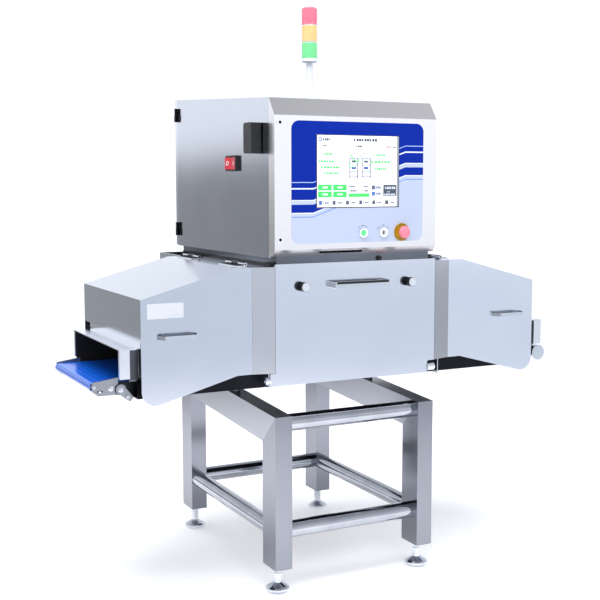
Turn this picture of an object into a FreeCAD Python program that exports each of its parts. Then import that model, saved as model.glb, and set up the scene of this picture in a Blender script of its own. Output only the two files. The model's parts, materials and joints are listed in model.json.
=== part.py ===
# X-ray inspection system for packed food, on a belt conveyor.
#
# X runs along the belt, from the inlet on the left to the outlet on the right.
# Y runs from the operator's side to the back, and Z runs up from the floor.
# Lengths are in millimetres.  Heights are measured from the floor, x from the
# middle of the inspection chamber and y from the front face of the console.
# Every solid is shifted by shift_x and shift_y, which put the origin under the
# middle of the whole machine.

import FreeCAD
import Part
import Sketcher
import math
import os

doc = FreeCAD.newDocument("xray_inspection_system")
sheet = doc.addObject("Spreadsheet::Sheet", "sizes")


class Size:
    """A length or ratio together with the sheet expression that gives it."""

    def __init__(self, value, text):
        self.value = value
        self.text = text

    def __add__(self, other):
        other = as_size(other)
        return Size(self.value + other.value, "(%s + %s)" % (self.text, other.text))

    def __sub__(self, other):
        other = as_size(other)
        return Size(self.value - other.value, "(%s - %s)" % (self.text, other.text))

    def __mul__(self, other):
        other = as_size(other)
        return Size(self.value * other.value, "(%s * %s)" % (self.text, other.text))

    def __truediv__(self, other):
        other = as_size(other)
        return Size(self.value / other.value, "(%s / %s)" % (self.text, other.text))

    def __neg__(self):
        return Size(-self.value, "(0 - %s)" % self.text)

    def __radd__(self, other):
        return as_size(other) + self

    def __rsub__(self, other):
        return as_size(other) - self

    def __rmul__(self, other):
        return as_size(other) * self

    def __rtruediv__(self, other):
        return as_size(other) / self


def as_size(item):
    if isinstance(item, Size):
        return item
    return Size(float(item), "%.6f" % item if item >= 0 else "(0 - %.6f)" % -item)


def root(item):
    return Size(math.sqrt(item.value), "sqrt(%s)" % item.text)


cells = []


def dim(alias, value):
    """Put one named number in the sheet and return it as a Size."""
    row = len(cells) + 1
    cells.append(alias)
    sheet.set("A%d" % row, alias)
    sheet.set("B%d" % row, str(value))
    sheet.setAlias("B%d" % row, alias)
    return Size(float(value), "sizes." + alias)


# Stand: two side frames of rectangular tube, joined by round tubes
stand_half = dim("stand_half", 300.0)
leg_width = dim("leg_width", 60.0)
leg_depth = dim("leg_depth", 97.0)
leg_front = dim("leg_front", 2.0)
leg_rear = dim("leg_rear", 838.5)
leg_bottom = dim("leg_bottom", 85.5)
beam_top = dim("beam_top", 591.2)
beam_rise = dim("beam_rise", 0.0572)
beam_height = dim("beam_height", 100.0)
tube_radius = dim("tube_radius", 28.5)
tube_upper_z = dim("tube_upper_z", 560.0)
tube_lower_z = dim("tube_lower_z", 203.5)
post_radius = dim("post_radius", 20.0)
post_front_y = dim("post_front_y", 392.0)
post_rear_y = dim("post_rear_y", 782.0)

# Levelling feet
foot_radius = dim("foot_radius", 40.0)
foot_sole = dim("foot_sole", 30.0)
foot_bell = dim("foot_bell", 32.0)
spindle_radius = dim("spindle_radius", 8.0)
spindle_depth = dim("spindle_depth", 40.0)
nut_flats = dim("nut_flats", 26.0)
nut_height = dim("nut_height", 18.0)

# Inspection chamber, with slanted cheeks beside its door
chamber_half = dim("chamber_half", 369.5)
chamber_front = dim("chamber_front", 18.5)
chamber_rear = dim("chamber_rear", 870.0)
chamber_bottom = dim("chamber_bottom", 734.9)
chamber_top = dim("chamber_top", 1071.8)
chamber_wall = dim("chamber_wall", 5.0)
chamber_back = dim("chamber_back", 560.0)
doorway_half = dim("doorway_half", 283.0)
doorway_bottom = dim("doorway_bottom", 750.0)
doorway_top = dim("doorway_top", 1045.0)
cheek_step = dim("cheek_step", 20.5)

# Chamber door
door_half = dim("door_half", 299.5)
door_bottom = dim("door_bottom", 693.7)
door_top = dim("door_top", 1080.3)
door_face = dim("door_face", -2.0)
door_skin = dim("door_skin", 3.0)
door_gap = dim("door_gap", 0.4)
door_axis_y = dim("door_axis_y", 3.5)
door_axis_z = dim("door_axis_z", 712.0)
door_ear = dim("door_ear", 18.0)
door_ear_top = dim("door_ear_top", 734.0)
ear_relief_y = dim("ear_relief_y", -2.0)
ear_relief_z = dim("ear_relief_z", 14.0)
notch_width = dim("notch_width", 28.0)
knuckle_radius = dim("knuckle_radius", 13.0)
pin_radius = dim("pin_radius", 5.0)
grip_length = dim("grip_length", 204.0)
grip_z = dim("grip_z", 1009.0)
grip_height = dim("grip_height", 22.0)
grip_reach = dim("grip_reach", 25.0)
grip_bar = dim("grip_bar", 8.0)
grip_block = dim("grip_block", 18.0)
knob_spacing = dim("knob_spacing", 398.0)
knob_middle = dim("knob_middle", -6.0)
knob_z = dim("knob_z", 1007.0)
knob_radius = dim("knob_radius", 15.0)
knob_length = dim("knob_length", 29.0)
latch_length = dim("latch_length", 58.0)
latch_width = dim("latch_width", 16.0)
latch_thick = dim("latch_thick", 4.0)
latch_gap = dim("latch_gap", 1.0)
shaft_radius = dim("shaft_radius", 6.0)

# Hoods over the inlet and the outlet
hood_gap = dim("hood_gap", 0.5)
hood_end = dim("hood_end", 734.2)
hood_ridge = dim("hood_ridge", 426.3)
hood_shoulder = dim("hood_shoulder", 988.3)
hood_front = dim("hood_front", 18.5)
hood_rear = dim("hood_rear", 627.1)
hood_skirt_x = dim("hood_skirt_x", 420.7)
hood_skirt_end = dim("hood_skirt_end", 651.3)
hood_corner = dim("hood_corner", 45.0)
hood_window = dim("hood_window", 859.0)
hood_skin = dim("hood_skin", 2.5)
hood_axis_rise = dim("hood_axis_rise", 6.6)
hinge_knuckle = dim("hinge_knuckle", 6.0)
hinge_pin = dim("hinge_pin", 3.0)
hinge_leaf = dim("hinge_leaf", 28.0)
leaf_thick = dim("leaf_thick", 3.0)
hinge_length = dim("hinge_length", 150.0)
hinge_front_y = dim("hinge_front_y", 68.0)
hinge_rear_y = dim("hinge_rear_y", 460.0)
bow_x = dim("bow_x", 619.5)
bow_z = dim("bow_z", 873.0)
bow_length = dim("bow_length", 130.0)
bow_reach = dim("bow_reach", 32.0)
bow_radius = dim("bow_radius", 6.0)
bow_bend = dim("bow_bend", 16.0)

# Tunnels under the hoods
tunnel_reach = dim("tunnel_reach", 55.0)
tunnel_frame = dim("tunnel_frame", 32.0)
tunnel_front = dim("tunnel_front", 40.0)
tunnel_rear = dim("tunnel_rear", 545.0)
tunnel_top = dim("tunnel_top", 840.0)
tunnel_foot = dim("tunnel_foot", 750.0)
tunnel_step = dim("tunnel_step", 8.0)
tunnel_wall = dim("tunnel_wall", 3.0)
tunnel_skirt = dim("tunnel_skirt", 742.0)
curtain_x = dim("curtain_x", 560.0)
curtain_rod = dim("curtain_rod", 4.0)
curtain_drop = dim("curtain_drop", 82.0)
curtain_thick = dim("curtain_thick", 1.6)
curtain_strips = dim("curtain_strips", 8)
curtain_slit = dim("curtain_slit", 1.5)
curtain_margin = dim("curtain_margin", 4.0)

# Conveyor
base_half = dim("base_half", 740.0)
base_bottom = dim("base_bottom", 686.0)
base_wall = dim("base_wall", 3.0)
belt_front = dim("belt_front", 93.0)
belt_rear = dim("belt_rear", 493.0)
belt_top = dim("belt_top", 738.0)
belt_thick = dim("belt_thick", 2.0)
nose_reach = dim("nose_reach", 122.0)
nose_x = base_half + nose_reach
tunnel_end = base_half + tunnel_reach
nose_outer = dim("nose_outer", 13.0)
drum_reach = dim("drum_reach", 45.0)
drum_x = base_half + drum_reach
drum_crown = dim("drum_crown", 60.0)
drum_outer = dim("drum_outer", 20.0)
roller_gap = dim("roller_gap", 0.3)
axle_radius = dim("axle_radius", 5.0)
running_gap = dim("running_gap", 0.06)
rail_thick = dim("rail_thick", 5.0)
rail_gap = dim("rail_gap", 2.0)
rail_reach = dim("rail_reach", 25.0)
rail_end = drum_x + rail_reach
rail_drop = dim("rail_drop", 3.0)
bed_thick = dim("bed_thick", 4.0)
bed_nose_gap = dim("bed_nose_gap", 17.0)
bed_drum_gap = dim("bed_drum_gap", 25.0)
bed_inlet = nose_x - bed_nose_gap
bed_outlet = drum_x - bed_drum_gap
beam_slot = dim("beam_slot", 12.0)
nose_plate = dim("nose_plate", 6.0)
nose_plate_tip = dim("nose_plate_tip", 6.0)
nose_plate_back = dim("nose_plate_back", 72.0)
nose_plate_end = nose_x + nose_plate_tip
nose_plate_x = nose_x - nose_plate_back
nose_plate_lip = dim("nose_plate_lip", 13.0)
nose_plate_foot = dim("nose_plate_foot", 698.0)
link_back = dim("link_back", 81.0)
link_x = nose_x - link_back
link_z = dim("link_z", 714.0)
link_radius = dim("link_radius", 16.0)
link_foot_reach = dim("link_foot_reach", 28.0)
link_foot_x = link_x - link_foot_reach
link_foot_z = dim("link_foot_z", 700.0)
bolt_radius = dim("bolt_radius", 5.0)
bolt_head = dim("bolt_head", 4.0)
mount_radius = dim("mount_radius", 27.5)
mount_boss = dim("mount_boss", 18.0)
mount_boss_length = dim("mount_boss_length", 8.0)
detector_half = dim("detector_half", 30.0)
detector_height = dim("detector_height", 22.0)

# Electrical cabinet above the chamber
cabinet_half = dim("cabinet_half", 300.0)
cabinet_front = dim("cabinet_front", 42.0)
cabinet_rear = dim("cabinet_rear", 845.0)
cabinet_bottom = dim("cabinet_bottom", 1098.0)
roof_front = dim("roof_front", 1599.0)
roof_rise = dim("roof_rise", 0.0577)
cabinet_skin = dim("cabinet_skin", 3.0)
flange_width = dim("flange_width", 5.0)
gasket_height = dim("gasket_height", 7.2)
plinth_inset = dim("plinth_inset", 15.0)
plinth_front = dim("plinth_front", 20.0)
plinth_back = dim("plinth_back", 838.0)
plinth_wall = dim("plinth_wall", 14.0)
shelf_z = dim("shelf_z", 1240.0)
shelf_thick = dim("shelf_thick", 5.0)
source_y = dim("source_y", 293.0)
source_width = dim("source_width", 260.0)
source_depth = dim("source_depth", 300.0)
source_height = dim("source_height", 230.0)
port_radius = dim("port_radius", 30.0)
port_height = dim("port_height", 40.0)
plate_y = dim("plate_y", 690.0)
plate_top = dim("plate_top", 1560.0)
unit_size = dim("unit_size", 100.0)
unit_low = dim("unit_low", 1160.0)
unit_high = dim("unit_high", 1400.0)
interlock_x = dim("interlock_x", 90.0)
interlock_radius = dim("interlock_radius", 8.0)
strike_width = dim("strike_width", 7.0)
strike_half = dim("strike_half", 16.0)

# Console door
console_half = cabinet_half
console_bottom = dim("console_bottom", 1124.0)
console_top = dim("console_top", 1543.0)
console_lip_z = dim("console_lip_z", 1104.0)
console_lip_y = dim("console_lip_y", 15.0)
console_skin = dim("console_skin", 2.5)
console_gap = dim("console_gap", 0.4)
pull_left = dim("pull_left", -140.0)
pull_right = dim("pull_right", 20.0)
pull_z = dim("pull_z", 1113.5)
pull_height = dim("pull_height", 7.0)
overlay_left = dim("overlay_left", -241.5)
overlay_right = dim("overlay_right", 248.0)
overlay_bottom = dim("overlay_bottom", 1142.0)
overlay_top = dim("overlay_top", 1527.5)
overlay_corner = dim("overlay_corner", 27.0)
overlay_thick = dim("overlay_thick", 0.8)
screen_half = dim("screen_half", 154.0)
screen_bottom = dim("screen_bottom", 1254.0)
screen_top = dim("screen_top", 1486.0)
screen_margin = dim("screen_margin", 4.0)
screen_depth = dim("screen_depth", 34.0)
control_z = dim("control_z", 1172.0)
start_x = dim("start_x", 18.0)
key_x = dim("key_x", 94.0)
stop_x = dim("stop_x", 165.0)
ring_radius = dim("ring_radius", 15.0)
ring_height = dim("ring_height", 3.5)
barrel_radius = dim("barrel_radius", 11.0)
barrel_length = dim("barrel_length", 26.0)
cap_radius = dim("cap_radius", 9.5)
cap_clearance = dim("cap_clearance", 0.3)
key_radius = dim("key_radius", 8.0)
stop_disc = dim("stop_disc", 29.5)
stop_disc_thick = dim("stop_disc_thick", 3.0)
stop_head = dim("stop_head", 20.0)
stop_reach = dim("stop_reach", 27.0)
stop_travel = dim("stop_travel", 4.0)
start_travel = dim("start_travel", 2.0)
lock_inset = dim("lock_inset", 18.6)
lock_x = lock_inset - console_half
lock_upper_z = dim("lock_upper_z", 1518.3)
lock_lower_z = dim("lock_lower_z", 1154.7)
lock_radius = dim("lock_radius", 8.0)
lock_length = dim("lock_length", 14.0)
lock_width = dim("lock_width", 9.0)
lock_head = dim("lock_head", 2.5)
side_axis = dim("side_axis", 7.0)
side_hinge_lower = dim("side_hinge_lower", 1137.0)
side_hinge_upper = dim("side_hinge_upper", 1563.0)
side_hinge_length = dim("side_hinge_length", 50.0)
side_leaf = dim("side_leaf", 30.0)

# Rear door
rear_thick = dim("rear_thick", 25.0)
rear_bottom = dim("rear_bottom", 1100.0)
rear_skin = dim("rear_skin", 2.5)
rear_lock_x = cabinet_half - lock_inset
rear_lock_z = dim("rear_lock_z", 1336.0)

# Signal tower
tower_y = dim("tower_y", 341.0)
tower_flange = dim("tower_flange", 34.0)
tower_flange_z = dim("tower_flange_z", 1635.0)
tower_pole = dim("tower_pole", 11.0)
tower_base_z = dim("tower_base_z", 1749.0)
tower_base_top = dim("tower_base_top", 1762.0)
lamp_radius = dim("lamp_radius", 27.0)
lamp_height = dim("lamp_height", 52.0)
spacer_height = dim("spacer_height", 6.0)
cap_height = dim("cap_height", 5.0)

# Main switch and service box on the left side
switch_y = dim("switch_y", 318.0)
switch_z = dim("switch_z", 1399.5)
switch_width = dim("switch_width", 85.0)
switch_height = dim("switch_height", 52.0)
switch_proud = dim("switch_proud", 11.0)
rocker_half = dim("rocker_half", 34.5)
rocker_height = dim("rocker_height", 40.0)
rocker_gap = dim("rocker_gap", 2.0)
rocker_face = dim("rocker_face", 6.0)
rocker_tilt = dim("rocker_tilt", 7.0)
rocker_axis = dim("rocker_axis", 3.0)
service_y = dim("service_y", 120.0)
service_z = dim("service_z", 1475.5)
service_width = dim("service_width", 60.0)
service_height = dim("service_height", 97.0)
service_depth = dim("service_depth", 34.0)
service_corner = dim("service_corner", 10.0)
service_foot = dim("service_foot", 4.0)

# Derived places
rear_face = cabinet_rear + console_gap + rear_thick
left_end = nose_x + nose_outer
right_end = drum_x + mount_radius
front_end = door_face - grip_reach - grip_bar
shift_x = (left_end - right_end) / 2
rear_end = rear_face + lock_head
shift_y = -(front_end + rear_end) / 2


def roof(y):
    """Height of the sloping roof at y."""
    return roof_front + roof_rise * (y - cabinet_front)


def beam(y):
    """Height of the top of the sloping side beams at y."""
    return beam_top + beam_rise * (y - leg_front)


# Makers of solids

def bind(item, path, size):
    item.setExpression(path, as_size(size).text)


def put(item, x, y, z):
    """Place an object at x, y, z of the machine."""
    bind(item, "Placement.Base.x", as_size(x) + shift_x)
    bind(item, "Placement.Base.y", as_size(y) + shift_y)
    bind(item, "Placement.Base.z", z)


TURN = {
    "x": FreeCAD.Rotation(FreeCAD.Vector(0, 1, 0), 90),
    "y": FreeCAD.Rotation(FreeCAD.Vector(1, 0, 0), -90),
    "z": FreeCAD.Rotation(),
}


def box(name, x0, x1, y0, y1, z0, z1):
    """A block between two x, two y and two z."""
    x0, x1, y0, y1, z0, z1 = [as_size(v) for v in (x0, x1, y0, y1, z0, z1)]
    item = doc.addObject("Part::Box", name)
    bind(item, "Length", x1 - x0)
    bind(item, "Width", y1 - y0)
    bind(item, "Height", z1 - z0)
    put(item, x0, y0, z0)
    return item


def rod(name, axis, x, y, z, radius, length):
    """A cylinder that starts at x, y, z and runs along the positive axis."""
    item = doc.addObject("Part::Cylinder", name)
    bind(item, "Radius", radius)
    bind(item, "Height", length)
    item.Placement = FreeCAD.Placement(FreeCAD.Vector(), TURN[axis])
    put(item, x, y, z)
    return item


def hexagon(name, axis, x, y, z, flats, length):
    """A hexagonal prism that starts at x, y, z and runs along the axis."""
    item = doc.addObject("Part::Prism", name)
    item.Polygon = 6
    bind(item, "Circumradius", as_size(flats) / math.sqrt(3))
    bind(item, "Height", length)
    item.Placement = FreeCAD.Placement(FreeCAD.Vector(), TURN[axis])
    put(item, x, y, z)
    return item


def cut(name, base, *tools):
    """The base less each tool."""
    for number, tool in enumerate(tools):
        item = doc.addObject("Part::Cut", "%s_cut%d" % (name, number))
        item.Base = base
        item.Tool = tool
        base = item
    return base


def fuse(name, *parts):
    item = doc.addObject("Part::MultiFuse", name)
    item.Shapes = list(parts)
    item.Refine = True
    return item


def group(name, *parts):
    """Several separate solids that make one sub-part."""
    item = doc.addObject("Part::Compound", name)
    item.Links = list(parts)
    return item


def plane_of(body, role):
    for feature in body.Origin.OriginFeatures:
        if feature.Role == role:
            return feature
    raise ValueError("no plane " + role)


def outline(sketch, points):
    """Draw a polygon whose corners are held at their sizes from the origin."""
    first = sketch.GeometryCount
    corners = [FreeCAD.Vector(u.value, v.value, 0) for u, v in points]
    count = len(corners)
    for i in range(count):
        sketch.addGeometry(Part.LineSegment(corners[i], corners[(i + 1) % count]))
    for i in range(count):
        here = first + i
        after = first + (i + 1) % count
        sketch.addConstraint(Sketcher.Constraint("Coincident", here, 2, after, 1))
    for i in range(count):
        for kind, size in (("DistanceX", points[i][0]), ("DistanceY", points[i][1])):
            number = sketch.addConstraint(
                Sketcher.Constraint(kind, -1, 1, first + i, 1, size.value))
            bind(sketch, "Constraints[%d]" % number, size)


def sketch_in(body, name, role, offset):
    """A sketch on one of a body's own planes, moved along its normal."""
    sketch = body.newObject("Sketcher::SketchObject", name)
    sketch.AttachmentSupport = [(plane_of(body, role), "")]
    sketch.MapMode = "FlatFace"
    bind(sketch, "AttachmentOffset.Base.z", offset)
    return sketch


def prism(name, axis, start, end, points, corners=(), radius=None):
    """Pad an outline along an axis.

    The outline is given as (y, z) for axis x, (x, z) for axis y and (x, y) for
    axis z.  The corners that are listed by number are rounded to the radius.
    """
    start, end = as_size(start), as_size(end)
    points = [(as_size(u), as_size(v)) for u, v in points]
    role = {"x": "YZ_Plane", "y": "XZ_Plane", "z": "XY_Plane"}[axis]
    body = doc.addObject("PartDesign::Body", name)
    sketch = sketch_in(body, name + "_outline", role, -end if axis == "y" else start)
    outline(sketch, points)
    pad = body.newObject("PartDesign::Pad", name + "_pad")
    pad.Profile = sketch
    bind(pad, "Length", end - start)
    if corners:
        doc.recompute()
        chosen = [points[i] for i in corners]
        edges = edges_at(pad.Shape, axis, chosen)
        fillet = body.newObject("PartDesign::Fillet", name + "_round")
        fillet.Base = (pad, edges)
        bind(fillet, "Radius", radius)
        body.Tip = fillet
    body.Placement = FreeCAD.Placement()
    put(body, 0, 0, 0)
    return body


def edges_at(shape, axis, corners):
    """Names of the edges along the axis that stand on the given corners."""
    pick = {"x": (1, 2), "y": (0, 2), "z": (0, 1)}[axis]
    names = []
    for number, edge in enumerate(shape.Edges, start=1):
        a = edge.Vertexes[0].Point
        b = edge.Vertexes[-1].Point
        here = (a[pick[0]], a[pick[1]])
        there = (b[pick[0]], b[pick[1]])
        if math.dist(here, there) > 1e-4:
            continue
        for u, v in corners:
            if math.dist(here, (u.value, v.value)) < 1e-3:
                names.append("Edge%d" % number)
    return names


def turned(name, axis, x, y, z, points):
    """Revolve an outline of (radius, distance along the axis) pairs."""
    points = [(as_size(u), as_size(v)) for u, v in points]
    body = doc.addObject("PartDesign::Body", name)
    sketch = sketch_in(body, name + "_outline", "XZ_Plane", 0)
    outline(sketch, points)
    revolution = body.newObject("PartDesign::Revolution", name + "_turn")
    revolution.Profile = sketch
    revolution.ReferenceAxis = (sketch, ["V_Axis"])
    revolution.Angle = 360
    body.Placement = FreeCAD.Placement(FreeCAD.Vector(), TURN[axis])
    put(body, x, y, z)
    return body


def rounded(name, axis, start, end, u0, u1, v0, v1, radius):
    """A block along an axis whose four long edges are rounded."""
    points = [(u0, v0), (u1, v0), (u1, v1), (u0, v1)]
    return prism(name, axis, start, end, points, (0, 1, 2, 3), radius)


finished = []


def keep(node, item):
    """List an object as a finished sub-part of the machine."""
    item.Label = node
    finished.append((node, item))


def ordered(side, near, far):
    """The two x values of a piece between near and far on one side."""
    return (near, far) if side > 0 else (-far, -near)


SIDES = ((-1, "left"), (1, "right"))

# Stand.  Each side frame is mitred where the legs meet the sloping beam.
legs = []
beams = []
for side, word in SIDES:
    x0, x1 = ordered(side, stand_half - leg_width, stand_half)
    inner_front = leg_front + leg_depth
    inner_rear = leg_rear - leg_depth
    legs.append(prism("front_leg_" + word, "x", x0, x1, [
        (leg_front, leg_bottom),
        (inner_front, leg_bottom),
        (inner_front, beam(inner_front) - beam_height),
        (leg_front, beam(leg_front))]))
    legs.append(prism("rear_leg_" + word, "x", x0, x1, [
        (inner_rear, leg_bottom),
        (leg_rear, leg_bottom),
        (leg_rear, beam(leg_rear)),
        (inner_rear, beam(inner_rear) - beam_height)]))
    beams.append(prism("beam_" + word, "x", x0, x1, [
        (leg_front, beam(leg_front)),
        (inner_front, beam(inner_front) - beam_height),
        (inner_rear, beam(inner_rear) - beam_height),
        (leg_rear, beam(leg_rear))]))

leg_x = stand_half - leg_width / 2
leg_front_y = leg_front + leg_depth / 2
leg_rear_y = leg_rear - leg_depth / 2
feet = []
jam_nuts = []
bores = []
for side, word in SIDES:
    for y, row in ((leg_front_y, "front"), (leg_rear_y, "rear")):
        tag = row + "_" + word
        nut_z = leg_bottom - nut_height
        flats_z = nut_z - nut_height - 4
        neck = nut_flats / 2 - 1
        foot = turned("foot_" + tag, "z", side * leg_x, y, 0, [
            (0, 0),
            (foot_sole, 0),
            (foot_radius, 10),
            (foot_radius, 16),
            (foot_radius - 6, 21),
            (neck + 6, foot_bell - 3),
            (neck, foot_bell),
            (neck, flats_z),
            (spindle_radius, flats_z),
            (spindle_radius, leg_bottom + spindle_depth),
            (0, leg_bottom + spindle_depth)])
        flats = hexagon("flats_" + tag, "z", side * leg_x, y, flats_z,
                        nut_flats, nut_height)
        feet.append(fuse("levelling_foot_" + tag, foot, flats))
        nut = hexagon("nut_" + tag, "z", side * leg_x, y, nut_z, nut_flats, nut_height)
        hole = rod("nut_bore_" + tag, "z", side * leg_x, y, nut_z,
                   spindle_radius + running_gap, nut_height)
        jam_nuts.append(cut("jam_nut_" + tag, nut, hole))
        bores.append(rod("leg_bore_" + tag, "z", side * leg_x, y, leg_bottom,
                         spindle_radius + running_gap, spindle_depth + 2))
bored_legs = [
    cut("bored_leg_0", legs[0], bores[0]),
    cut("bored_leg_1", legs[1], bores[1]),
    cut("bored_leg_2", legs[2], bores[2]),
    cut("bored_leg_3", legs[3], bores[3])]
keep("legs", group("legs", *bored_legs))
keep("side_beams", group("side_beams", *beams))
keep("levelling_feet", group("levelling_feet", *feet))

tube_half = stand_half - leg_width
tubes = [
    rod("tube_front_upper", "x", -tube_half, leg_front_y, tube_upper_z,
        tube_radius, 2 * tube_half),
    rod("tube_front_lower", "x", -tube_half, leg_front_y, tube_lower_z,
        tube_radius, 2 * tube_half),
    rod("tube_rear_lower", "x", -tube_half, leg_rear_y, tube_lower_z,
        tube_radius, 2 * tube_half)]
for side, word in SIDES:
    tubes.append(rod("tube_side_" + word, "y", side * leg_x, inner_front, tube_lower_z,
                     tube_radius, inner_rear - inner_front))
keep("cross_tubes", group("cross_tubes", *tubes))

# Posts stand on the sloping beams and carry the conveyor base and the chamber
posts = []
under_beams = prism("under_beams", "x", -stand_half, stand_half, [
    (leg_front, beam(leg_front) - beam_height),
    (leg_rear, beam(leg_rear) - beam_height),
    (leg_rear, beam(leg_rear)),
    (leg_front, beam(leg_front))])
for side, word in SIDES:
    for y, row in ((post_front_y, "front"), (post_rear_y, "rear")):
        tag = row + "_" + word
        start = beam(y) - 10
        post = rod("post_rod_" + tag, "z", side * leg_x, y, start, post_radius,
                   base_bottom - start)
        posts.append(cut("post_" + tag, post, under_beams))
keep("support_posts", group("support_posts", *posts))

# Conveyor base: a long open channel, and the tray that carries the chamber's back
base_outer = box("base_outer", -base_half, base_half, tunnel_front, tunnel_rear,
                 base_bottom, chamber_bottom)
base_inner = box("base_inner", -base_half - 1, base_half + 1,
                 tunnel_front + base_wall, tunnel_rear - base_wall,
                 base_bottom + base_wall, chamber_bottom + 1)
channel = cut("channel", base_outer, base_inner)
tray_outer = box("tray_outer", -stand_half, stand_half, tunnel_rear, chamber_rear,
                 base_bottom, chamber_bottom)
tray_inner = box("tray_inner", -stand_half + base_wall, stand_half - base_wall,
                 tunnel_rear + base_wall, chamber_rear - base_wall,
                 base_bottom + base_wall, chamber_bottom + 1)
tray = cut("tray", tray_outer, tray_inner)
keep("conveyor_base", fuse("conveyor_base", channel, tray))

# Chamber housing: a box with a doorway in front, a belt opening in each side, a
# slot for the beam in its top and a service space at the back.  Its front frame
# with the cheeks is welded to the body.
front_corner = door_half + 0.5
housing_outer = prism("housing_outer", "z", chamber_bottom, chamber_top, [
    (-chamber_half, chamber_front),
    (-front_corner - 0.5, chamber_front - cheek_step),
    (-front_corner - 0.5, chamber_front),
    (front_corner + 0.5, chamber_front),
    (front_corner + 0.5, chamber_front - cheek_step),
    (chamber_half, chamber_front),
    (chamber_half, chamber_rear),
    (-chamber_half, chamber_rear)])
housing_inner = box("housing_inner", -chamber_half + chamber_wall,
                    chamber_half - chamber_wall, chamber_front + chamber_wall,
                    chamber_back, chamber_bottom - 1, chamber_top - chamber_wall)
housing_back = box("housing_back", -chamber_half + chamber_wall,
                   chamber_half - chamber_wall, chamber_back + chamber_wall,
                   chamber_rear - chamber_wall, chamber_bottom + chamber_wall,
                   chamber_top + 1)
doorway = rounded("doorway", "y", chamber_front - 1, chamber_front + chamber_wall + 1,
                  -doorway_half, doorway_half, doorway_bottom, doorway_top, 12)
belt_way = box("belt_way", -chamber_half - 1, chamber_half + 1,
               tunnel_front + tunnel_step + tunnel_wall,
               tunnel_rear - tunnel_step - tunnel_wall,
               chamber_bottom - 1, tunnel_top - tunnel_wall)
beam_window = box("beam_window", -beam_slot, beam_slot, belt_front, belt_rear,
                  chamber_top - chamber_wall - 1, chamber_top + 1)
front_slab = box("front_slab", -chamber_half - 1, chamber_half + 1,
                 chamber_front - cheek_step - 1, chamber_front + chamber_wall,
                 chamber_bottom - 1, chamber_top + 1)
front_frame = doc.addObject("Part::Common", "front_frame")
front_frame.Base = housing_outer
front_frame.Tool = front_slab
keep("chamber_housing", group("chamber_housing",
                              cut("housing_front", front_frame, doorway),
                              cut("housing_body", housing_outer, front_slab,
                                  housing_inner, housing_back, belt_way, beam_window)))

# Chamber door: a pan that hangs on two pins along its lower edge.  It widens to
# the left there and has a notch at the right for the knuckle.
door_back = chamber_front - door_gap
notch_x = door_half - notch_width
ear_x = door_half + door_ear
door_sheet = prism("door_sheet", "y", door_face, door_back, [
    (-door_half, door_top),
    (-door_half, door_ear_top),
    (-ear_x, door_ear_top),
    (-ear_x, door_bottom),
    (notch_x, door_bottom),
    (notch_x, door_ear_top),
    (door_half, door_ear_top),
    (door_half, door_top)], (5,), 8)
door_hollow = box("door_hollow", -door_half + door_skin, door_half - door_skin,
                  door_face + door_skin, door_back + 1,
                  door_ear_top + door_skin, door_top - door_skin)
door_holes = []
for side, word in SIDES:
    x = knob_middle + side * knob_spacing / 2
    door_holes.append(rod("door_hole_" + word, "y", x, door_face - 1, knob_z,
                          shaft_radius + running_gap, door_skin + 2))
ear_relief = box("ear_relief", -ear_x - 1, -door_half, door_axis_y + ear_relief_y,
                 door_back + 1, door_axis_z + ear_relief_z, door_ear_top + 1)
door_pan = cut("door_pan", door_sheet, door_hollow, ear_relief, *door_holes)
pin_right = rod("door_pin_right", "x", notch_x - 1, door_axis_y, door_axis_z,
                pin_radius, notch_width - 6)
pin_left = rod("door_pin_left", "x", -ear_x - 20, door_axis_y, door_axis_z,
               pin_radius, 21)
keep("chamber_door", fuse("chamber_door", door_pan, pin_right, pin_left))

grip_y = door_face - grip_reach - grip_bar
grip_front = rounded("grip_front", "y", grip_y, grip_y + grip_bar,
                     -grip_length / 2, grip_length / 2,
                     grip_z - grip_height / 2, grip_z + grip_height / 2, 3)
grip_blocks = []
for side, word in SIDES:
    x0, x1 = ordered(side, grip_length / 2 - grip_block, grip_length / 2)
    grip_blocks.append(rounded("grip_block_" + word, "y", grip_y + 1, door_face,
                               x0, x1, grip_z - grip_height / 2,
                               grip_z + grip_height / 2, 3))
keep("chamber_door_handle", fuse("chamber_door_handle", grip_front, *grip_blocks))

# Clamp knobs: each turns a latch that swings up behind the chamber's front wall
latch_y = chamber_front + chamber_wall + latch_gap
for side, word in SIDES:
    x = knob_middle + side * knob_spacing / 2
    knob = turned("knob_body_" + word, "y", x, door_face - knob_length - 0.5, knob_z, [
        (0, 0),
        (knob_radius - 2, 0),
        (knob_radius, 2),
        (knob_radius, knob_length - 9),
        (knob_radius - 4, knob_length - 5),
        (knob_radius - 4, knob_length),
        (shaft_radius, knob_length),
        (shaft_radius, latch_y + latch_thick - door_face + knob_length + 0.5),
        (0, latch_y + latch_thick - door_face + knob_length + 0.5)])
    latch = rounded("latch_" + word, "y", latch_y, latch_y + latch_thick,
                    x - latch_width / 2, x + latch_length,
                    knob_z - latch_width / 2, knob_z + latch_width / 2, 4)
    keep("clamp_knob_" + word, fuse("clamp_knob_" + word, knob, latch))

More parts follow.
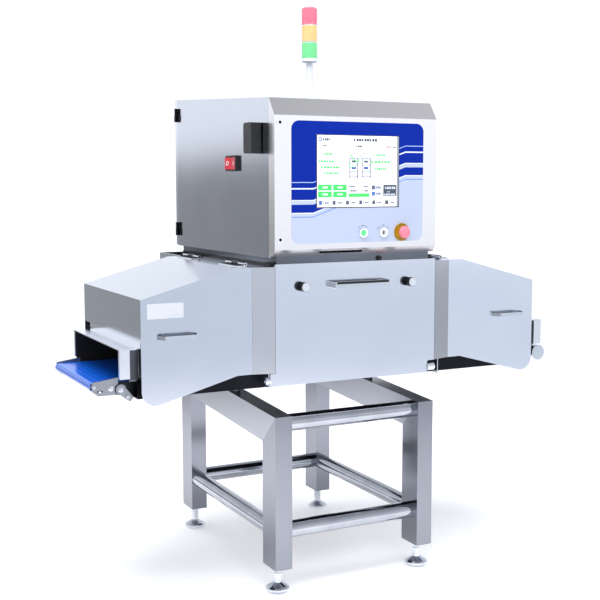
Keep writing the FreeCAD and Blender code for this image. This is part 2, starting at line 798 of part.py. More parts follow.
# Brackets for the door's pins, under the cheeks and in front of the base
knuckle = rod("knuckle", "x", notch_x + 0.5, door_axis_y, door_axis_z,
              knuckle_radius, notch_width - 1)
knuckle_arm = box("knuckle_arm", notch_x + 4, notch_x + notch_width - 4, door_axis_y + 4,
                  tunnel_front, door_axis_z - 9, door_axis_z + 9)
knuckle_bore = rod("knuckle_bore", "x", notch_x, door_axis_y, door_axis_z,
                   pin_radius + running_gap, notch_width - 5)
right_knuckle = cut("right_knuckle", fuse("knuckle_block", knuckle, knuckle_arm),
                    knuckle_bore)
left_plate = box("left_plate", -ear_x - 4.5, -ear_x - 0.5, door_face + 6, tunnel_front,
                 door_bottom - 4, chamber_bottom)
left_boss = rod("left_boss", "x", -ear_x - 18.5, door_axis_y, door_axis_z,
                knuckle_radius, 18)
left_bore = rod("left_bore", "x", -ear_x - 21, door_axis_y, door_axis_z,
                pin_radius + running_gap, 22)
left_bracket = cut("left_bracket", fuse("left_block", left_plate, left_boss), left_bore)
right_plate = box("right_plate", ear_x, ear_x + 3, door_face + 6, tunnel_front,
                  door_bottom - 8, chamber_bottom)
keep("door_hinge_brackets", group("door_hinge_brackets", right_knuckle, left_bracket,
                                  right_plate))


# Hoods: sheet metal covers that lift on hinges along the chamber's upper edges
hood_near = chamber_half + hood_gap
hood_axis_z = chamber_top + hood_axis_rise
slope = (chamber_top - hood_shoulder) / (hood_end - hood_ridge)
skirt = (chamber_bottom - hood_skirt_end) / (hood_end - hood_skirt_x)
bend = hood_skin * root(1 + slope * slope)


def hood(side, word):
    """One hood, with its hinge leaves and its bow handle."""
    far_edge = side * hood_end
    shell = prism(word + "_hood_outer", "y", hood_front, hood_rear, [
        (side * hood_near, chamber_bottom),
        (side * hood_skirt_x, chamber_bottom),
        (far_edge, hood_skirt_end),
        (far_edge, hood_shoulder),
        (side * hood_ridge, chamber_top),
        (side * hood_near, chamber_top)], (2,), hood_corner)
    inside_end = side * (hood_end - hood_skin)
    hollow = prism(word + "_hood_inner", "y", hood_front + hood_skin,
                   hood_rear - hood_skin, [
                       (side * (hood_near - 1), hood_skirt_end - 1),
                       (inside_end, hood_skirt_end - 1),
                       (inside_end, hood_shoulder - bend + slope * hood_skin),
                       (side * hood_ridge, chamber_top - bend),
                       (side * (hood_near - 1), chamber_top - bend)])
    x0, x1 = ordered(side, hood_end - hood_skin - 1, hood_end + 1)
    window = box(word + "_hood_window", x0, x1, hood_front + hood_skin,
                 hood_rear - hood_skin, hood_skirt_end - 1, hood_window)
    keep(word + "_hood", cut(word + "_hood", shell, hollow, window))

    leaves = []
    for y, row in ((hinge_front_y, "front"), (hinge_rear_y, "rear")):
        tag = word + "_leaf_" + row
        x0, x1 = ordered(side, hood_near + 2, hood_near + 2 + hinge_leaf)
        leaf = box(tag + "_plate", x0, x1, y, y + hinge_length, chamber_top,
                   chamber_top + leaf_thick)
        barrel = rod(tag + "_barrel", "y", side * chamber_half, y, hood_axis_z,
                     hinge_knuckle, hinge_length)
        waist = box(tag + "_waist", side * chamber_half - 12, side * chamber_half + 12,
                    y + hinge_length / 3 - 0.3, y + hinge_length * 2 / 3 + 0.3,
                    chamber_top - 1, hood_axis_z + 12)
        bore = rod(tag + "_bore", "y", side * chamber_half, y - 1, hood_axis_z,
                   hinge_pin + running_gap, hinge_length + 2)
        leaves.append(cut(tag, fuse(tag + "_whole", leaf, barrel), waist, bore))
    handle = bow_handle(word + "_bow", side * bow_x, hood_front, bow_z)
    keep(word + "_hood_fittings", group(word + "_hood_fittings", handle, *leaves))


def bow_handle(name, x, y, z):
    """A bar bent into a shallow bow, with its two ends on the face at y."""
    across = 2 * bow_radius
    half = bow_length / 2
    outer = -bow_reach
    inner = -bow_reach + across
    return prism(name, "z", z - bow_radius, z + bow_radius, [
        (x - half, y),
        (x - half + bow_bend, y + outer),
        (x + half - bow_bend, y + outer),
        (x + half, y),
        (x + half - across, y),
        (x + half - bow_bend - bow_radius, y + inner),
        (x - half + bow_bend + bow_radius, y + inner),
        (x - half + across, y)])


hood(-1, "inlet")
hood(1, "outlet")

# Fixed halves of the hood hinges, each with the pin that both halves turn on
fixed_leaves = []
for side, word in SIDES:
    for y, row in ((hinge_front_y, "front"), (hinge_rear_y, "rear")):
        tag = "fixed_leaf_%s_%s" % (row, word)
        x0, x1 = ordered(side, chamber_half - 2.5 - hinge_leaf, chamber_half - 2.5)
        third = hinge_length / 3
        leaf = box(tag + "_plate", x0, x1, y + third, y + 2 * third, chamber_top,
                   chamber_top + leaf_thick)
        barrel = rod(tag + "_barrel", "y", side * chamber_half, y + third, hood_axis_z,
                     hinge_knuckle, third)
        pin = rod(tag + "_pin", "y", side * chamber_half, y, hood_axis_z, hinge_pin,
                  hinge_length)
        fixed_leaves.append(fuse(tag, leaf, barrel, pin))


# Tunnels: steel troughs over the belt, each with a frame at its open end
def tunnel(side, word):
    near = chamber_half
    rear_in = tunnel_rear - tunnel_step
    front_in = tunnel_front + tunnel_step
    x0, x1 = ordered(side, near, tunnel_end - tunnel_frame)
    outer = box(word + "_tunnel_outer", x0, x1, front_in, rear_in, tunnel_skirt,
                tunnel_top)
    f0, f1 = ordered(side, tunnel_end - tunnel_frame, tunnel_end)
    frame = box(word + "_tunnel_frame", f0, f1, tunnel_front, tunnel_rear, tunnel_foot,
                tunnel_top)
    lid0, lid1 = ordered(side, hood_end - 30, tunnel_end - tunnel_frame)
    lid = box(word + "_tunnel_lid", lid0, lid1, tunnel_front, tunnel_rear,
              tunnel_top - tunnel_wall, tunnel_top)
    whole = fuse(word + "_tunnel_whole", outer, frame, lid)
    i0, i1 = ordered(side, near - 1, tunnel_end + 1)
    inner = box(word + "_tunnel_inner", i0, i1, front_in + tunnel_wall,
                rear_in - tunnel_wall, tunnel_skirt - 1, tunnel_top - tunnel_wall)
    bore = rod(word + "_tunnel_bore", "y", side * curtain_x, front_in - 1, curtain_z,
               curtain_rod + running_gap, rear_in - front_in + 2)
    keep(word + "_tunnel", cut(word + "_tunnel", whole, inner, bore))


curtain_z = tunnel_top - tunnel_wall - curtain_rod - 3
tunnel(-1, "inlet")
tunnel(1, "outlet")


# Curtains of lead rubber strips that hang from a rod across each tunnel
def curtain(side, word):
    inside_front = tunnel_front + tunnel_step + tunnel_wall + curtain_margin
    inside_rear = tunnel_rear - tunnel_step - tunnel_wall - curtain_margin
    hanger = rod(word + "_curtain_rod", "y", side * curtain_x,
                 tunnel_front + tunnel_step, curtain_z, curtain_rod,
                 tunnel_rear - tunnel_front - 2 * tunnel_step)
    flap = box(word + "_flap", side * curtain_x - curtain_thick / 2,
               side * curtain_x + curtain_thick / 2, inside_front, inside_rear,
               curtain_z - curtain_drop, curtain_z)
    count = int(curtain_strips.value)
    pitch = (inside_rear - inside_front) / curtain_strips
    slits = []
    for i in range(1, count):
        middle = inside_front + i * pitch
        slits.append(box("%s_slit_%d" % (word, i), side * curtain_x - curtain_thick,
                         side * curtain_x + curtain_thick, middle - curtain_slit / 2,
                         middle + curtain_slit / 2, curtain_z - curtain_drop - 1,
                         curtain_z - curtain_rod - 6))
    comb = fuse(word + "_slits", *slits)
    keep(word + "_curtain", fuse(word + "_curtain", hanger,
                                 cut(word + "_strips", flap, comb)))


curtain(-1, "inlet")
curtain(1, "outlet")

# Conveyor belt: a closed band round the nose roller and the drive drum
nose_z = belt_top - nose_outer
drum_z = belt_top - drum_outer
slack = (drum_outer - nose_outer) / (nose_x + drum_x) * 2
lean = slack / root(1 + slack * slack)
stand_up = 1 / root(1 + slack * slack)


def band(sketch, nose_radius, drum_radius):
    """One closed loop: straight on top, then round the drum and the nose.

    The top run is level, so the lower run leans by the angle between the two
    circles, whose lean and stand_up are its sine and cosine.
    """
    first = sketch.GeometryCount
    nose = FreeCAD.Vector(-nose_x.value, nose_z.value, 0)
    drum = FreeCAD.Vector(drum_x.value, drum_z.value, 0)
    up = FreeCAD.Vector(0, 1, 0)
    down = FreeCAD.Vector(-lean.value, -stand_up.value, 0)
    a = nose + up * nose_radius.value
    b = drum + up * drum_radius.value
    c = drum + down * drum_radius.value
    d = nose + down * nose_radius.value
    right = drum + FreeCAD.Vector(drum_radius.value, 0, 0)
    left = nose - FreeCAD.Vector(nose_radius.value, 0, 0)
    sketch.addGeometry(Part.LineSegment(a, b))
    sketch.addGeometry(Part.Arc(b, right, c))
    sketch.addGeometry(Part.LineSegment(c, d))
    sketch.addGeometry(Part.Arc(d, left, a))
    arcs = ((first + 1, drum_x, drum_z, drum_radius),
            (first + 3, -nose_x, nose_z, nose_radius))
    for arc, x, z, radius in arcs:
        for kind, size in (("DistanceX", x), ("DistanceY", z)):
            number = sketch.addConstraint(
                Sketcher.Constraint(kind, -1, 1, arc, 3, size.value))
            bind(sketch, "Constraints[%d]" % number, size)
        number = sketch.addConstraint(
            Sketcher.Constraint("Radius", arc, radius.value))
        bind(sketch, "Constraints[%d]" % number, radius)
    # Each arc is drawn anticlockwise, so its ends depend on the side it lies on
    sketch.addConstraint(Sketcher.Constraint("Tangent", first, 2, first + 1, 2))
    sketch.addConstraint(Sketcher.Constraint("Tangent", first + 2, 1, first + 1, 1))
    sketch.addConstraint(Sketcher.Constraint("Tangent", first + 2, 2, first + 3, 2))
    sketch.addConstraint(Sketcher.Constraint("Tangent", first, 1, first + 3, 1))


belt = doc.addObject("PartDesign::Body", "belt")
belt_sketch = sketch_in(belt, "belt_outline", "XZ_Plane", -belt_rear)
band(belt_sketch, nose_outer, drum_outer)
band(belt_sketch, nose_outer - belt_thick, drum_outer - belt_thick)
belt_pad = belt.newObject("PartDesign::Pad", "belt_pad")
belt_pad.Profile = belt_sketch
bind(belt_pad, "Length", belt_rear - belt_front)
belt.Placement = FreeCAD.Placement()
put(belt, 0, 0, 0)
keep("conveyor_belt", belt)

# Rollers.  Their axles turn in the plates and mounts on both sides.
rail_front = belt_front - rail_gap
rail_rear = belt_rear + rail_gap
plate_out = rail_front - rail_thick - nose_plate
plate_length = rail_rear + rail_thick + nose_plate - plate_out
nose_length = belt_rear - belt_front - 2
nose_radius = nose_outer - belt_thick - roller_gap
nose_start = belt_front + 1 - plate_out
keep("nose_roller", turned("nose_roller", "y", -nose_x, plate_out, nose_z, [
    (0, 0),
    (axle_radius, 0),
    (axle_radius, nose_start),
    (nose_radius, nose_start),
    (nose_radius, nose_start + nose_length),
    (axle_radius, nose_start + nose_length),
    (axle_radius, plate_length),
    (0, plate_length)]))
mount_depth = rail_front - rail_thick - tunnel_front
axle_out = tunnel_front + mount_depth / 2
axle_length = belt_front + belt_rear - 2 * axle_out
drum_start = belt_front + 1 - axle_out
drum_radius = drum_outer - belt_thick - roller_gap
keep("drive_drum", turned("drive_drum", "y", drum_x, axle_out, drum_z, [
    (0, 0),
    (mount_boss / 2, 0),
    (mount_boss / 2, drum_start),
    (drum_radius - 0.6, drum_start),
    (drum_radius, drum_start + drum_crown),
    (drum_radius, drum_start + nose_length - drum_crown),
    (drum_radius - 0.6, drum_start + nose_length),
    (mount_boss / 2, drum_start + nose_length),
    (mount_boss / 2, axle_length),
    (0, axle_length)]))

# Side rails stand in the base between the belt's two runs and beside them
rails = []
mounts = []
nose_plates = []
bolts = list(jam_nuts)
for face, word in ((-1, "front"), (1, "rear")):
    if face < 0:
        r0, r1 = rail_front - rail_thick, rail_front
        p0, p1 = plate_out, plate_out + nose_plate
        l0, l1 = plate_out - nose_plate, plate_out
        m0, m1 = tunnel_front, rail_front - rail_thick
    else:
        r0, r1 = rail_rear, rail_rear + rail_thick
        p0, p1 = r1, r1 + nose_plate
        l0, l1 = p1, p1 + nose_plate
        m0, m1 = r1, r1 + mount_depth
    low = base_bottom + base_wall
    rail = prism("rail_" + word, "y", r0, r1, [
        (-base_half, low),
        (base_half, low),
        (base_half + 20, drum_z - mount_radius + 6),
        (rail_end, drum_z - mount_radius + 6),
        (rail_end, belt_top - rail_drop),
        (-nose_plate_x - 12, belt_top - rail_drop),
        (-nose_plate_x - 12, nose_plate_foot)], (3, 4), 8)
    axle_hole = rod("axle_hole_" + word, "y", drum_x, r0 - 1, drum_z,
                    mount_boss / 2 + running_gap, rail_thick + 2)
    rails.append(cut("side_rail_" + word, rail, axle_hole))
    disc = rod("mount_disc_" + word, "y", drum_x,
               m0 if face < 0 else m1 - mount_depth + mount_boss_length, drum_z,
               mount_radius, mount_depth - mount_boss_length)
    boss = rod("mount_boss_" + word, "y", drum_x, m0, drum_z, mount_boss, mount_depth)
    pocket = rod("mount_bore_" + word, "y", drum_x,
                 axle_out - 0.5 if face < 0 else m0 - 1, drum_z,
                 mount_boss / 2 + running_gap, mount_depth / 2 + 1.5)
    mounts.append(cut("drum_mount_" + word, fuse("mount_" + word, disc, boss), pocket))
    plate = prism("nose_plate_body_" + word, "y", p0, p1, [
        (-nose_plate_end, nose_plate_foot + 14),
        (-nose_plate_end + 18, nose_plate_foot),
        (-nose_plate_x + 2, nose_plate_foot),
        (-nose_plate_x + 2, belt_top + nose_plate_lip),
        (-nose_plate_end, belt_top + 2)], (0, 1, 4), 5)
    nose_hole = rod("nose_hole_" + word, "y", -nose_x, p0 - 1, nose_z,
                    axle_radius + running_gap, nose_plate + 2)
    nose_plates.append(cut("nose_plate_" + word, plate, nose_hole))
    arm = prism("link_arm_" + word, "y", l0, l1, [
        (-link_x - 4, link_z - link_radius),
        (-link_foot_x, link_foot_z - 26),
        (-link_foot_x + 12, link_foot_z - 12),
        (-link_x + 4, link_z + link_radius)], (1, 2), 5)
    eye = rod("link_eye_" + word, "y", -link_x, l0, link_z, link_radius,
              nose_plate)
    nose_plates.append(fuse("link_" + word, arm, eye))
    head_start = l0 - bolt_head if face < 0 else l1
    plate_start = p0 - bolt_head if face < 0 else p1
    bolts.append(rod("pivot_bolt_" + word, "y", -link_x, head_start, link_z,
                     bolt_radius, bolt_head))
    bolts.append(rod("clamp_bolt_" + word, "y", -link_x - 30, plate_start,
                     link_z + 5, bolt_radius, bolt_head))
    bolts.append(rod("link_bolt_" + word, "y", -link_foot_x - 8, head_start,
                     link_foot_z - 10, bolt_radius, bolt_head))
keep("conveyor_side_rails", group("conveyor_side_rails", *rails))
keep("drum_end_mounts", group("drum_end_mounts", *mounts))
keep("nose_side_plates", group("nose_side_plates", *nose_plates))
keep("bolts_and_nuts", group("bolts_and_nuts", *bolts))

# Slider bed under the upper run, with a slot that lets the beam through
bed_top = belt_top - belt_thick
bed_plate = prism("bed_plate", "z", bed_top - bed_thick, bed_top, [
    (-bed_inlet, belt_front + 3),
    (-base_half, belt_front + 3),
    (-base_half, rail_front),
    (base_half, rail_front),
    (base_half, belt_front + 3),
    (bed_outlet, belt_front + 3),
    (bed_outlet, belt_rear - 3),
    (base_half, belt_rear - 3),
    (base_half, rail_rear),
    (-base_half, rail_rear),
    (-base_half, belt_rear - 3),
    (-bed_inlet, belt_rear - 3)])
bed_slot = box("bed_slot", -beam_slot / 2, beam_slot / 2, belt_front + 6, belt_rear - 6,
               bed_top - bed_thick - 1, bed_top + 1)
keep("slider_bed", cut("slider_bed", bed_plate, bed_slot))

# Line detector between the belt's two runs, right under the slot
detector = rounded("detector_case", "y", rail_front, rail_rear, -detector_half,
                   detector_half, bed_top - bed_thick - detector_height,
                   bed_top - bed_thick, 3)
keep("detector_array", detector)

# Cabinet: gasket, plinth and shell, with a sloping roof
plinth_half = cabinet_half - plinth_inset
plinth_bottom = chamber_top + gasket_height
plinth_outer = prism("plinth_outer", "x", -plinth_half, plinth_half, [
    (plinth_front, plinth_bottom),
    (plinth_back, plinth_bottom),
    (plinth_back, cabinet_bottom),
    (cabinet_front - 1, cabinet_bottom),
    (cabinet_front - 1, console_lip_z - console_gap),
    (plinth_front, console_lip_z - console_gap)])
plinth_hole = box("plinth_hole", -plinth_half + plinth_wall, plinth_half - plinth_wall,
                  cabinet_front + plinth_wall, plinth_back - plinth_wall,
                  chamber_top - 1, console_lip_z)
keep("cabinet_plinth", cut("cabinet_plinth", plinth_outer, plinth_hole))

gasket_outer = box("gasket_outer", -plinth_half - 2, plinth_half + 2, plinth_front,
                   plinth_back + 2, chamber_top, plinth_bottom)
gasket_hole = box("gasket_hole", -plinth_half + plinth_wall, plinth_half - plinth_wall,
                  cabinet_front + plinth_wall, plinth_back - plinth_wall,
                  chamber_top - 1, plinth_bottom + 1)
gasket = cut("gasket", gasket_outer, gasket_hole)
spacers = [gasket]
for side, word in SIDES:
    x0, x1 = ordered(side, plinth_half + 2.5, cabinet_half + 8)
    spacers.append(rounded("corner_block_" + word, "z", chamber_top, chamber_top + 12,
                           x0, x1, chamber_front + 4, chamber_front + 50, 4))
interlock = rod("interlock", "y", interlock_x, plinth_front - interlock_radius,
                chamber_top + 15.5, interlock_radius, interlock_radius)
interlock_clear = box("interlock_clear", interlock_x - 2 * interlock_radius,
                      interlock_x + 2 * interlock_radius,
                      plinth_front - interlock_radius - 1, plinth_front + 1,
                      chamber_top, door_top + 1)
spacers.append(cut("interlock_switch", interlock, interlock_clear))
keep("cabinet_spacers", group("cabinet_spacers", *spacers))

shell = prism("shell_outer", "x", -cabinet_half, cabinet_half, [
    (cabinet_front, cabinet_bottom),
    (cabinet_rear, cabinet_bottom),
    (cabinet_rear, roof(cabinet_rear)),
    (cabinet_front, roof(cabinet_front))])
inside_front = cabinet_front + cabinet_skin
inside_rear = cabinet_rear - cabinet_skin
shell_inner = prism("shell_inner", "x", -cabinet_half + cabinet_skin,
                    cabinet_half - cabinet_skin, [
                        (inside_front, cabinet_bottom + cabinet_skin),
                        (inside_rear, cabinet_bottom + cabinet_skin),
                        (inside_rear, roof(inside_rear) - cabinet_skin),
                        (inside_front, roof(inside_front) - cabinet_skin)])
mouth_inset = cabinet_skin + flange_width
shell_mouth = box("shell_mouth", -cabinet_half + cabinet_skin, cabinet_half - cabinet_skin,
                  cabinet_front - 1, inside_front + 1, cabinet_bottom + mouth_inset,
                  roof_front - mouth_inset)
rear_mouth = box("rear_mouth", -cabinet_half + cabinet_skin, cabinet_half - cabinet_skin,
                 inside_rear - 1, cabinet_rear + 1, cabinet_bottom + mouth_inset,
                 roof(cabinet_rear) - mouth_inset)
floor_hole = box("floor_hole", -plinth_half + plinth_wall + 20,
                 plinth_half - plinth_wall - 20, cabinet_front + plinth_wall + 30,
                 plinth_back - plinth_wall - 30, cabinet_bottom - 1,
                 cabinet_bottom + cabinet_skin + 1)
switch_hole = box("switch_hole", -cabinet_half - 1, -cabinet_half + cabinet_skin + 1,
                  switch_y - rocker_half - rocker_gap, switch_y + rocker_half + rocker_gap,
                  switch_z - rocker_height / 2 - rocker_gap / 2,
                  switch_z + rocker_height / 2 + rocker_gap / 2)
keep("cabinet_shell", cut("cabinet_shell", shell, shell_inner, shell_mouth, rear_mouth,
                          floor_hole, switch_hole))

# Strikes on the edges of the cabinet's walls: the lock tongues turn behind them
strikes = []
for side, z, y0, word in ((-1, lock_upper_z, cabinet_front, "upper"),
                          (-1, lock_lower_z, cabinet_front, "lower"),
                          (1, rear_lock_z, inside_rear, "rear")):
    x0, x1 = ordered(side, cabinet_half - cabinet_skin - strike_width,
                     cabinet_half - cabinet_skin)
    strikes.append(box("strike_" + word, x0, x1, y0, y0 + cabinet_skin,
                       z - strike_half, z + strike_half))
keep("lock_strikes", group("lock_strikes", *strikes))

# Fixed halves of the door hinges on the cabinet, with their pins: the console
# hangs on the right at the front, the rear door on the left at the back
door_leaves = []
console_axis_y = cabinet_front
rear_axis_y = cabinet_rear + console_gap / 2


def side_hinge(tag, side, axis_y, away, z):
    """Fixed lower half and moving upper half of one lift-off hinge."""
    axis_x = side * (cabinet_half + side_axis)
    half = side_hinge_length / 2
    x0, x1 = ordered(side, cabinet_half, cabinet_half + leaf_thick)
    if away > 0:
        fixed_y0, fixed_y1 = axis_y + 0.3, axis_y + side_leaf
        moving_y0, moving_y1 = axis_y - side_leaf, axis_y - 0.3
    else:
        fixed_y0, fixed_y1 = axis_y - side_leaf, axis_y - 0.3
        moving_y0, moving_y1 = axis_y + 0.3, axis_y + side_leaf - 8
    fixed = fuse(
        tag + "_fixed",
        box(tag + "_fixed_leaf", x0, x1, fixed_y0, fixed_y1, z, z + half),
        rod(tag + "_fixed_barrel", "z", axis_x, axis_y, z, hinge_knuckle, half),
        rod(tag + "_pin", "z", axis_x, axis_y, z, hinge_pin, side_hinge_length - 2))
    whole = fuse(
        tag + "_moving_whole",
        box(tag + "_moving_leaf", x0, x1, moving_y0, moving_y1, z + half + 0.3,
            z + side_hinge_length),
        rod(tag + "_moving_barrel", "z", axis_x, axis_y, z + half + 0.3, hinge_knuckle,
            half - 0.3))
    bore = rod(tag + "_moving_bore", "z", axis_x, axis_y, z + half - 1,
               hinge_pin + running_gap, half + 2)
    return fixed, cut(tag + "_moving", whole, bore)


console_leaves = []
rear_leaves = []
for z, row in ((side_hinge_lower, "lower"), (side_hinge_upper - 60, "upper")):
    fixed, moving = side_hinge("console_hinge_" + row, 1, console_axis_y, 1, z)
    door_leaves.append(fixed)
    console_leaves.append(moving)
for z, row in ((side_hinge_lower, "lower"), (side_hinge_upper, "upper")):
    fixed, moving = side_hinge("rear_hinge_" + row, -1, rear_axis_y, -1, z)
    door_leaves.append(fixed)
    rear_leaves.append(moving)
keep("fixed_hinge_leaves", group("fixed_hinge_leaves", *(fixed_leaves + door_leaves)))
keep("console_hinge_leaves", group("console_hinge_leaves", *console_leaves))
keep("rear_hinge_leaves", group("rear_hinge_leaves", *rear_leaves))

# Inside the cabinet: shelf, radiation source with its fan beam hood, and the
# electrical plate that faces the rear door
wall_x = cabinet_half - cabinet_skin
source_front = source_y - source_depth / 2
shelf = box("shelf", -wall_x, wall_x, source_front - 20, source_y + source_depth / 2 + 20,
            shelf_z, shelf_z + shelf_thick)
shelf_hole = rod("shelf_hole", "z", 0, source_y, shelf_z - 1, port_radius + 0.5,
                 shelf_thick + 2)
backplate = box("backplate", -wall_x, wall_x, plate_y, plate_y + shelf_thick,
                cabinet_bottom + cabinet_skin, plate_top)
keep("mounting_plates", group("mounting_plates", cut("source_shelf", shelf, shelf_hole),
                              backplate))
tank = rounded("source_tank", "z", shelf_z + shelf_thick,
               shelf_z + shelf_thick + source_height, -source_width / 2,
               source_width / 2, source_front, source_front + source_depth, 20)
port = rod("source_port", "z", 0, source_y, shelf_z - port_height, port_radius,
           port_height + shelf_thick + 1)
keep("xray_source", fuse("xray_source", tank, port))
fan_top = shelf_z - port_height
fan = prism("fan", "x", -beam_slot + 1, beam_slot - 1, [
    (source_y - port_radius, fan_top),
    (belt_front + 5, chamber_top - chamber_wall),
    (belt_rear - 5, chamber_top - chamber_wall),
    (source_y + port_radius, fan_top)])
fan_lining = prism("fan_lining", "x", -beam_slot / 2, beam_slot / 2, [
    (source_y - port_radius + 8, fan_top + 1),
    (belt_front + 12, chamber_top - chamber_wall - 1),
    (belt_rear - 12, chamber_top - chamber_wall - 1),
    (source_y + port_radius - 8, fan_top + 1)])
fan_collar = rod("fan_collar", "z", 0, source_y, fan_top - 6, port_radius + 6, 6)
keep("beam_collimator", cut("beam_collimator", fuse("fan_whole", fan, fan_collar),
                            fan_lining))
units = []
for number, (x0, x1, z0, height, depth) in enumerate((
        (-2.4, -0.4, unit_low, 1.5, 0.9),
        (0, 1.1, unit_low, 1.3, 0.7),
        (1.4, 2.4, unit_low, 1.6, 0.8),
        (-2.4, 2.4, unit_high, 0.8, 0.6))):
    units.append(rounded("unit_%d" % number, "y", plate_y + shelf_thick,
                         plate_y + shelf_thick + depth * unit_size,
                         x0 * unit_size, x1 * unit_size,
                         z0, z0 + height * unit_size, 4))
keep("electrical_units", group("electrical_units", *units))

# Console door: a deep pan with a chamfered top and a slanted lip with a pull slot
console_back = cabinet_front - console_gap
console_edge = roof_front - console_gap
pan = prism("console_pan", "x", -console_half, console_half, [
    (console_lip_y, console_lip_z),
    (console_back, console_lip_z),
    (console_back, console_edge),
    (console_back - 1.6, console_edge),
    (0, console_top),
    (0, console_bottom)])
pan_hollow = prism("console_hollow", "x", -console_half + console_skin,
                   console_half - console_skin, [
                       (console_lip_y + 1.2, console_lip_z + console_skin),
                       (console_back + 1, console_lip_z + console_skin),
                       (console_back + 1, console_edge - console_skin - 2),
                       (console_back - 1.6, console_edge - console_skin - 2),
                       (console_skin, console_top - 1),
                       (console_skin, console_bottom + 1)])
pull_slot = rounded("pull_slot", "y", -1, console_lip_y + 12, pull_left, pull_right,
                    pull_z - pull_height / 2, pull_z + pull_height / 2, 3.4)
screen_hole = box("screen_hole", -screen_half + screen_margin,
                  screen_half - screen_margin, -1, console_skin + 1,
                  screen_bottom + screen_margin, screen_top - screen_margin)
face_holes = []
for tag, x, z, radius in (("start", start_x, control_z, barrel_radius),
                          ("key", key_x, control_z, barrel_radius),
                          ("stop", stop_x, control_z, barrel_radius),
                          ("lock_upper", lock_x, lock_upper_z, lock_radius),
                          ("lock_lower", lock_x, lock_lower_z, lock_radius)):
    face_holes.append(rod("face_hole_" + tag, "y", x, -1, z, radius + running_gap,
                          console_skin + 2))
keep("console_door", cut("console_door", pan, pan_hollow, pull_slot, screen_hole,
                         *face_holes))

# Overlay on the console's face, with windows for the screen and the controls
sheet_plate = rounded("overlay_plate", "y", -overlay_thick, 0, overlay_left,
                      overlay_right, overlay_bottom, overlay_top, overlay_corner)
overlay_screen = box("overlay_screen", -screen_half, screen_half, -overlay_thick - 1, 1,
                     screen_bottom, screen_top)
overlay_holes = []
for tag, x in (("start", start_x), ("key", key_x), ("stop", stop_x)):
    overlay_holes.append(rod("overlay_hole_" + tag, "y", x, -overlay_thick - 1,
                             control_z, barrel_radius + running_gap,
                             overlay_thick + 2))
keep("console_overlay", cut("console_overlay", sheet_plate, overlay_screen,
                            *overlay_holes))
glass = rounded("screen_glass", "y", -overlay_thick - 0.6, 0, -screen_half + 0.3,
                screen_half - 0.3, screen_bottom + 0.3, screen_top - 0.3, 2)
screen_case = rounded("screen_case", "y", -0.1, screen_depth,
                      -screen_half + screen_margin + 0.5,
                      screen_half - screen_margin - 0.5,
                      screen_bottom + screen_margin + 0.5,
                      screen_top - screen_margin - 0.5, 6)
keep("touch_screen", fuse("touch_screen", glass, screen_case))

# Controls: each has a collar on the face and a barrel through the skin
seat = -overlay_thick
start_ring = turned("start_ring", "y", start_x, seat - ring_height, control_z, [
    (cap_radius + cap_clearance, 0),
    (ring_radius - 2, 0),
    (ring_radius, 2),
    (ring_radius, ring_height),
    (barrel_radius, ring_height),
    (barrel_radius, ring_height + barrel_length),
    (cap_radius + cap_clearance, ring_height + barrel_length)])
key_ring = turned("key_ring", "y", key_x, seat - ring_height, control_z, [
    (key_radius + running_gap, 0),
    (ring_radius - 2.5, 0),
    (ring_radius - 0.5, 2),
    (ring_radius - 0.5, ring_height),
    (barrel_radius, ring_height),
    (barrel_radius, ring_height + barrel_length),
    (key_radius + running_gap, ring_height + barrel_length)])
keep("control_rings", group("control_rings", start_ring, key_ring))
keep("start_button", turned("start_button", "y", start_x, seat - ring_height - 1.5,
                            control_z, [
    (0, 0),
    (cap_radius - 2, 0),
    (cap_radius, 1.5),
    (cap_radius, barrel_length - 4),
    (0, barrel_length - 4)]))
key_plug = turned("key_plug", "y", key_x, seat - ring_height - 1, control_z, [
    (0, 0),
    (key_radius - 1, 0),
    (key_radius, 1),
    (key_radius, barrel_length),
    (0, barrel_length)])
key_way = box("key_way", key_x - 1, key_x + 1, seat - ring_height - 2,
              seat - ring_height + 9, control_z - 4.5, control_z + 4.5)
keep("key_cylinder", cut("key_cylinder", key_plug, key_way))
collar_face = seat - stop_disc_thick
keep("stop_collar", turned("stop_collar", "y", stop_x, collar_face, control_z, [
    (cap_radius - 1, 0),
    (stop_disc - 1, 0),
    (stop_disc, 1),
    (stop_disc, stop_disc_thick),
    (barrel_radius, stop_disc_thick),
    (barrel_radius, stop_disc_thick + barrel_length),
    (cap_radius - 1, stop_disc_thick + barrel_length)]))
neck_radius = cap_radius - 1 - cap_clearance
keep("stop_button", turned("stop_button", "y", stop_x, collar_face - stop_reach,
                           control_z, [
    (0, 0),
    (stop_head - 9, 0.8),
    (stop_head - 3, 3),
    (stop_head, 8),
    (stop_head, 12),
    (stop_head - 4, 15),
    (stop_head - 8, stop_reach - stop_travel - 2),
    (neck_radius, stop_reach - stop_travel - 2),
    (neck_radius, stop_reach + 16),
    (0, stop_reach + 16)]))


# Quarter-turn locks: a slotted head outside and a tongue inside
def lock(name, x, face, direction, z, reach):
    """A lock whose head sits on a face and whose tongue hangs reach behind it."""
    start = face - lock_head if direction > 0 else face - reach - latch_thick
    length = lock_head + reach + latch_thick
    barrel = rod(name + "_barrel", "y", x, start, z, lock_radius, length)
    if direction > 0:
        head_y, tongue_y = face - lock_head, face + reach
    else:
        head_y, tongue_y = face, face - reach - latch_thick
    head = rod(name + "_head", "y", x, head_y, z, lock_radius + 2, lock_head)
    tongue = rounded(name + "_tongue", "y", tongue_y, tongue_y + latch_thick,
                     x - lock_width / 2, x + lock_width / 2, z - lock_width / 2,
                     z + lock_length, 3)
    slot_y = head_y - 1 if direction > 0 else head_y + lock_head - 1.5
    slot = box(name + "_slot", x - 1, x + 1, slot_y, slot_y + 2.5, z - 5, z + 5)
    keep(name, cut(name, fuse(name + "_whole", barrel, head, tongue), slot))


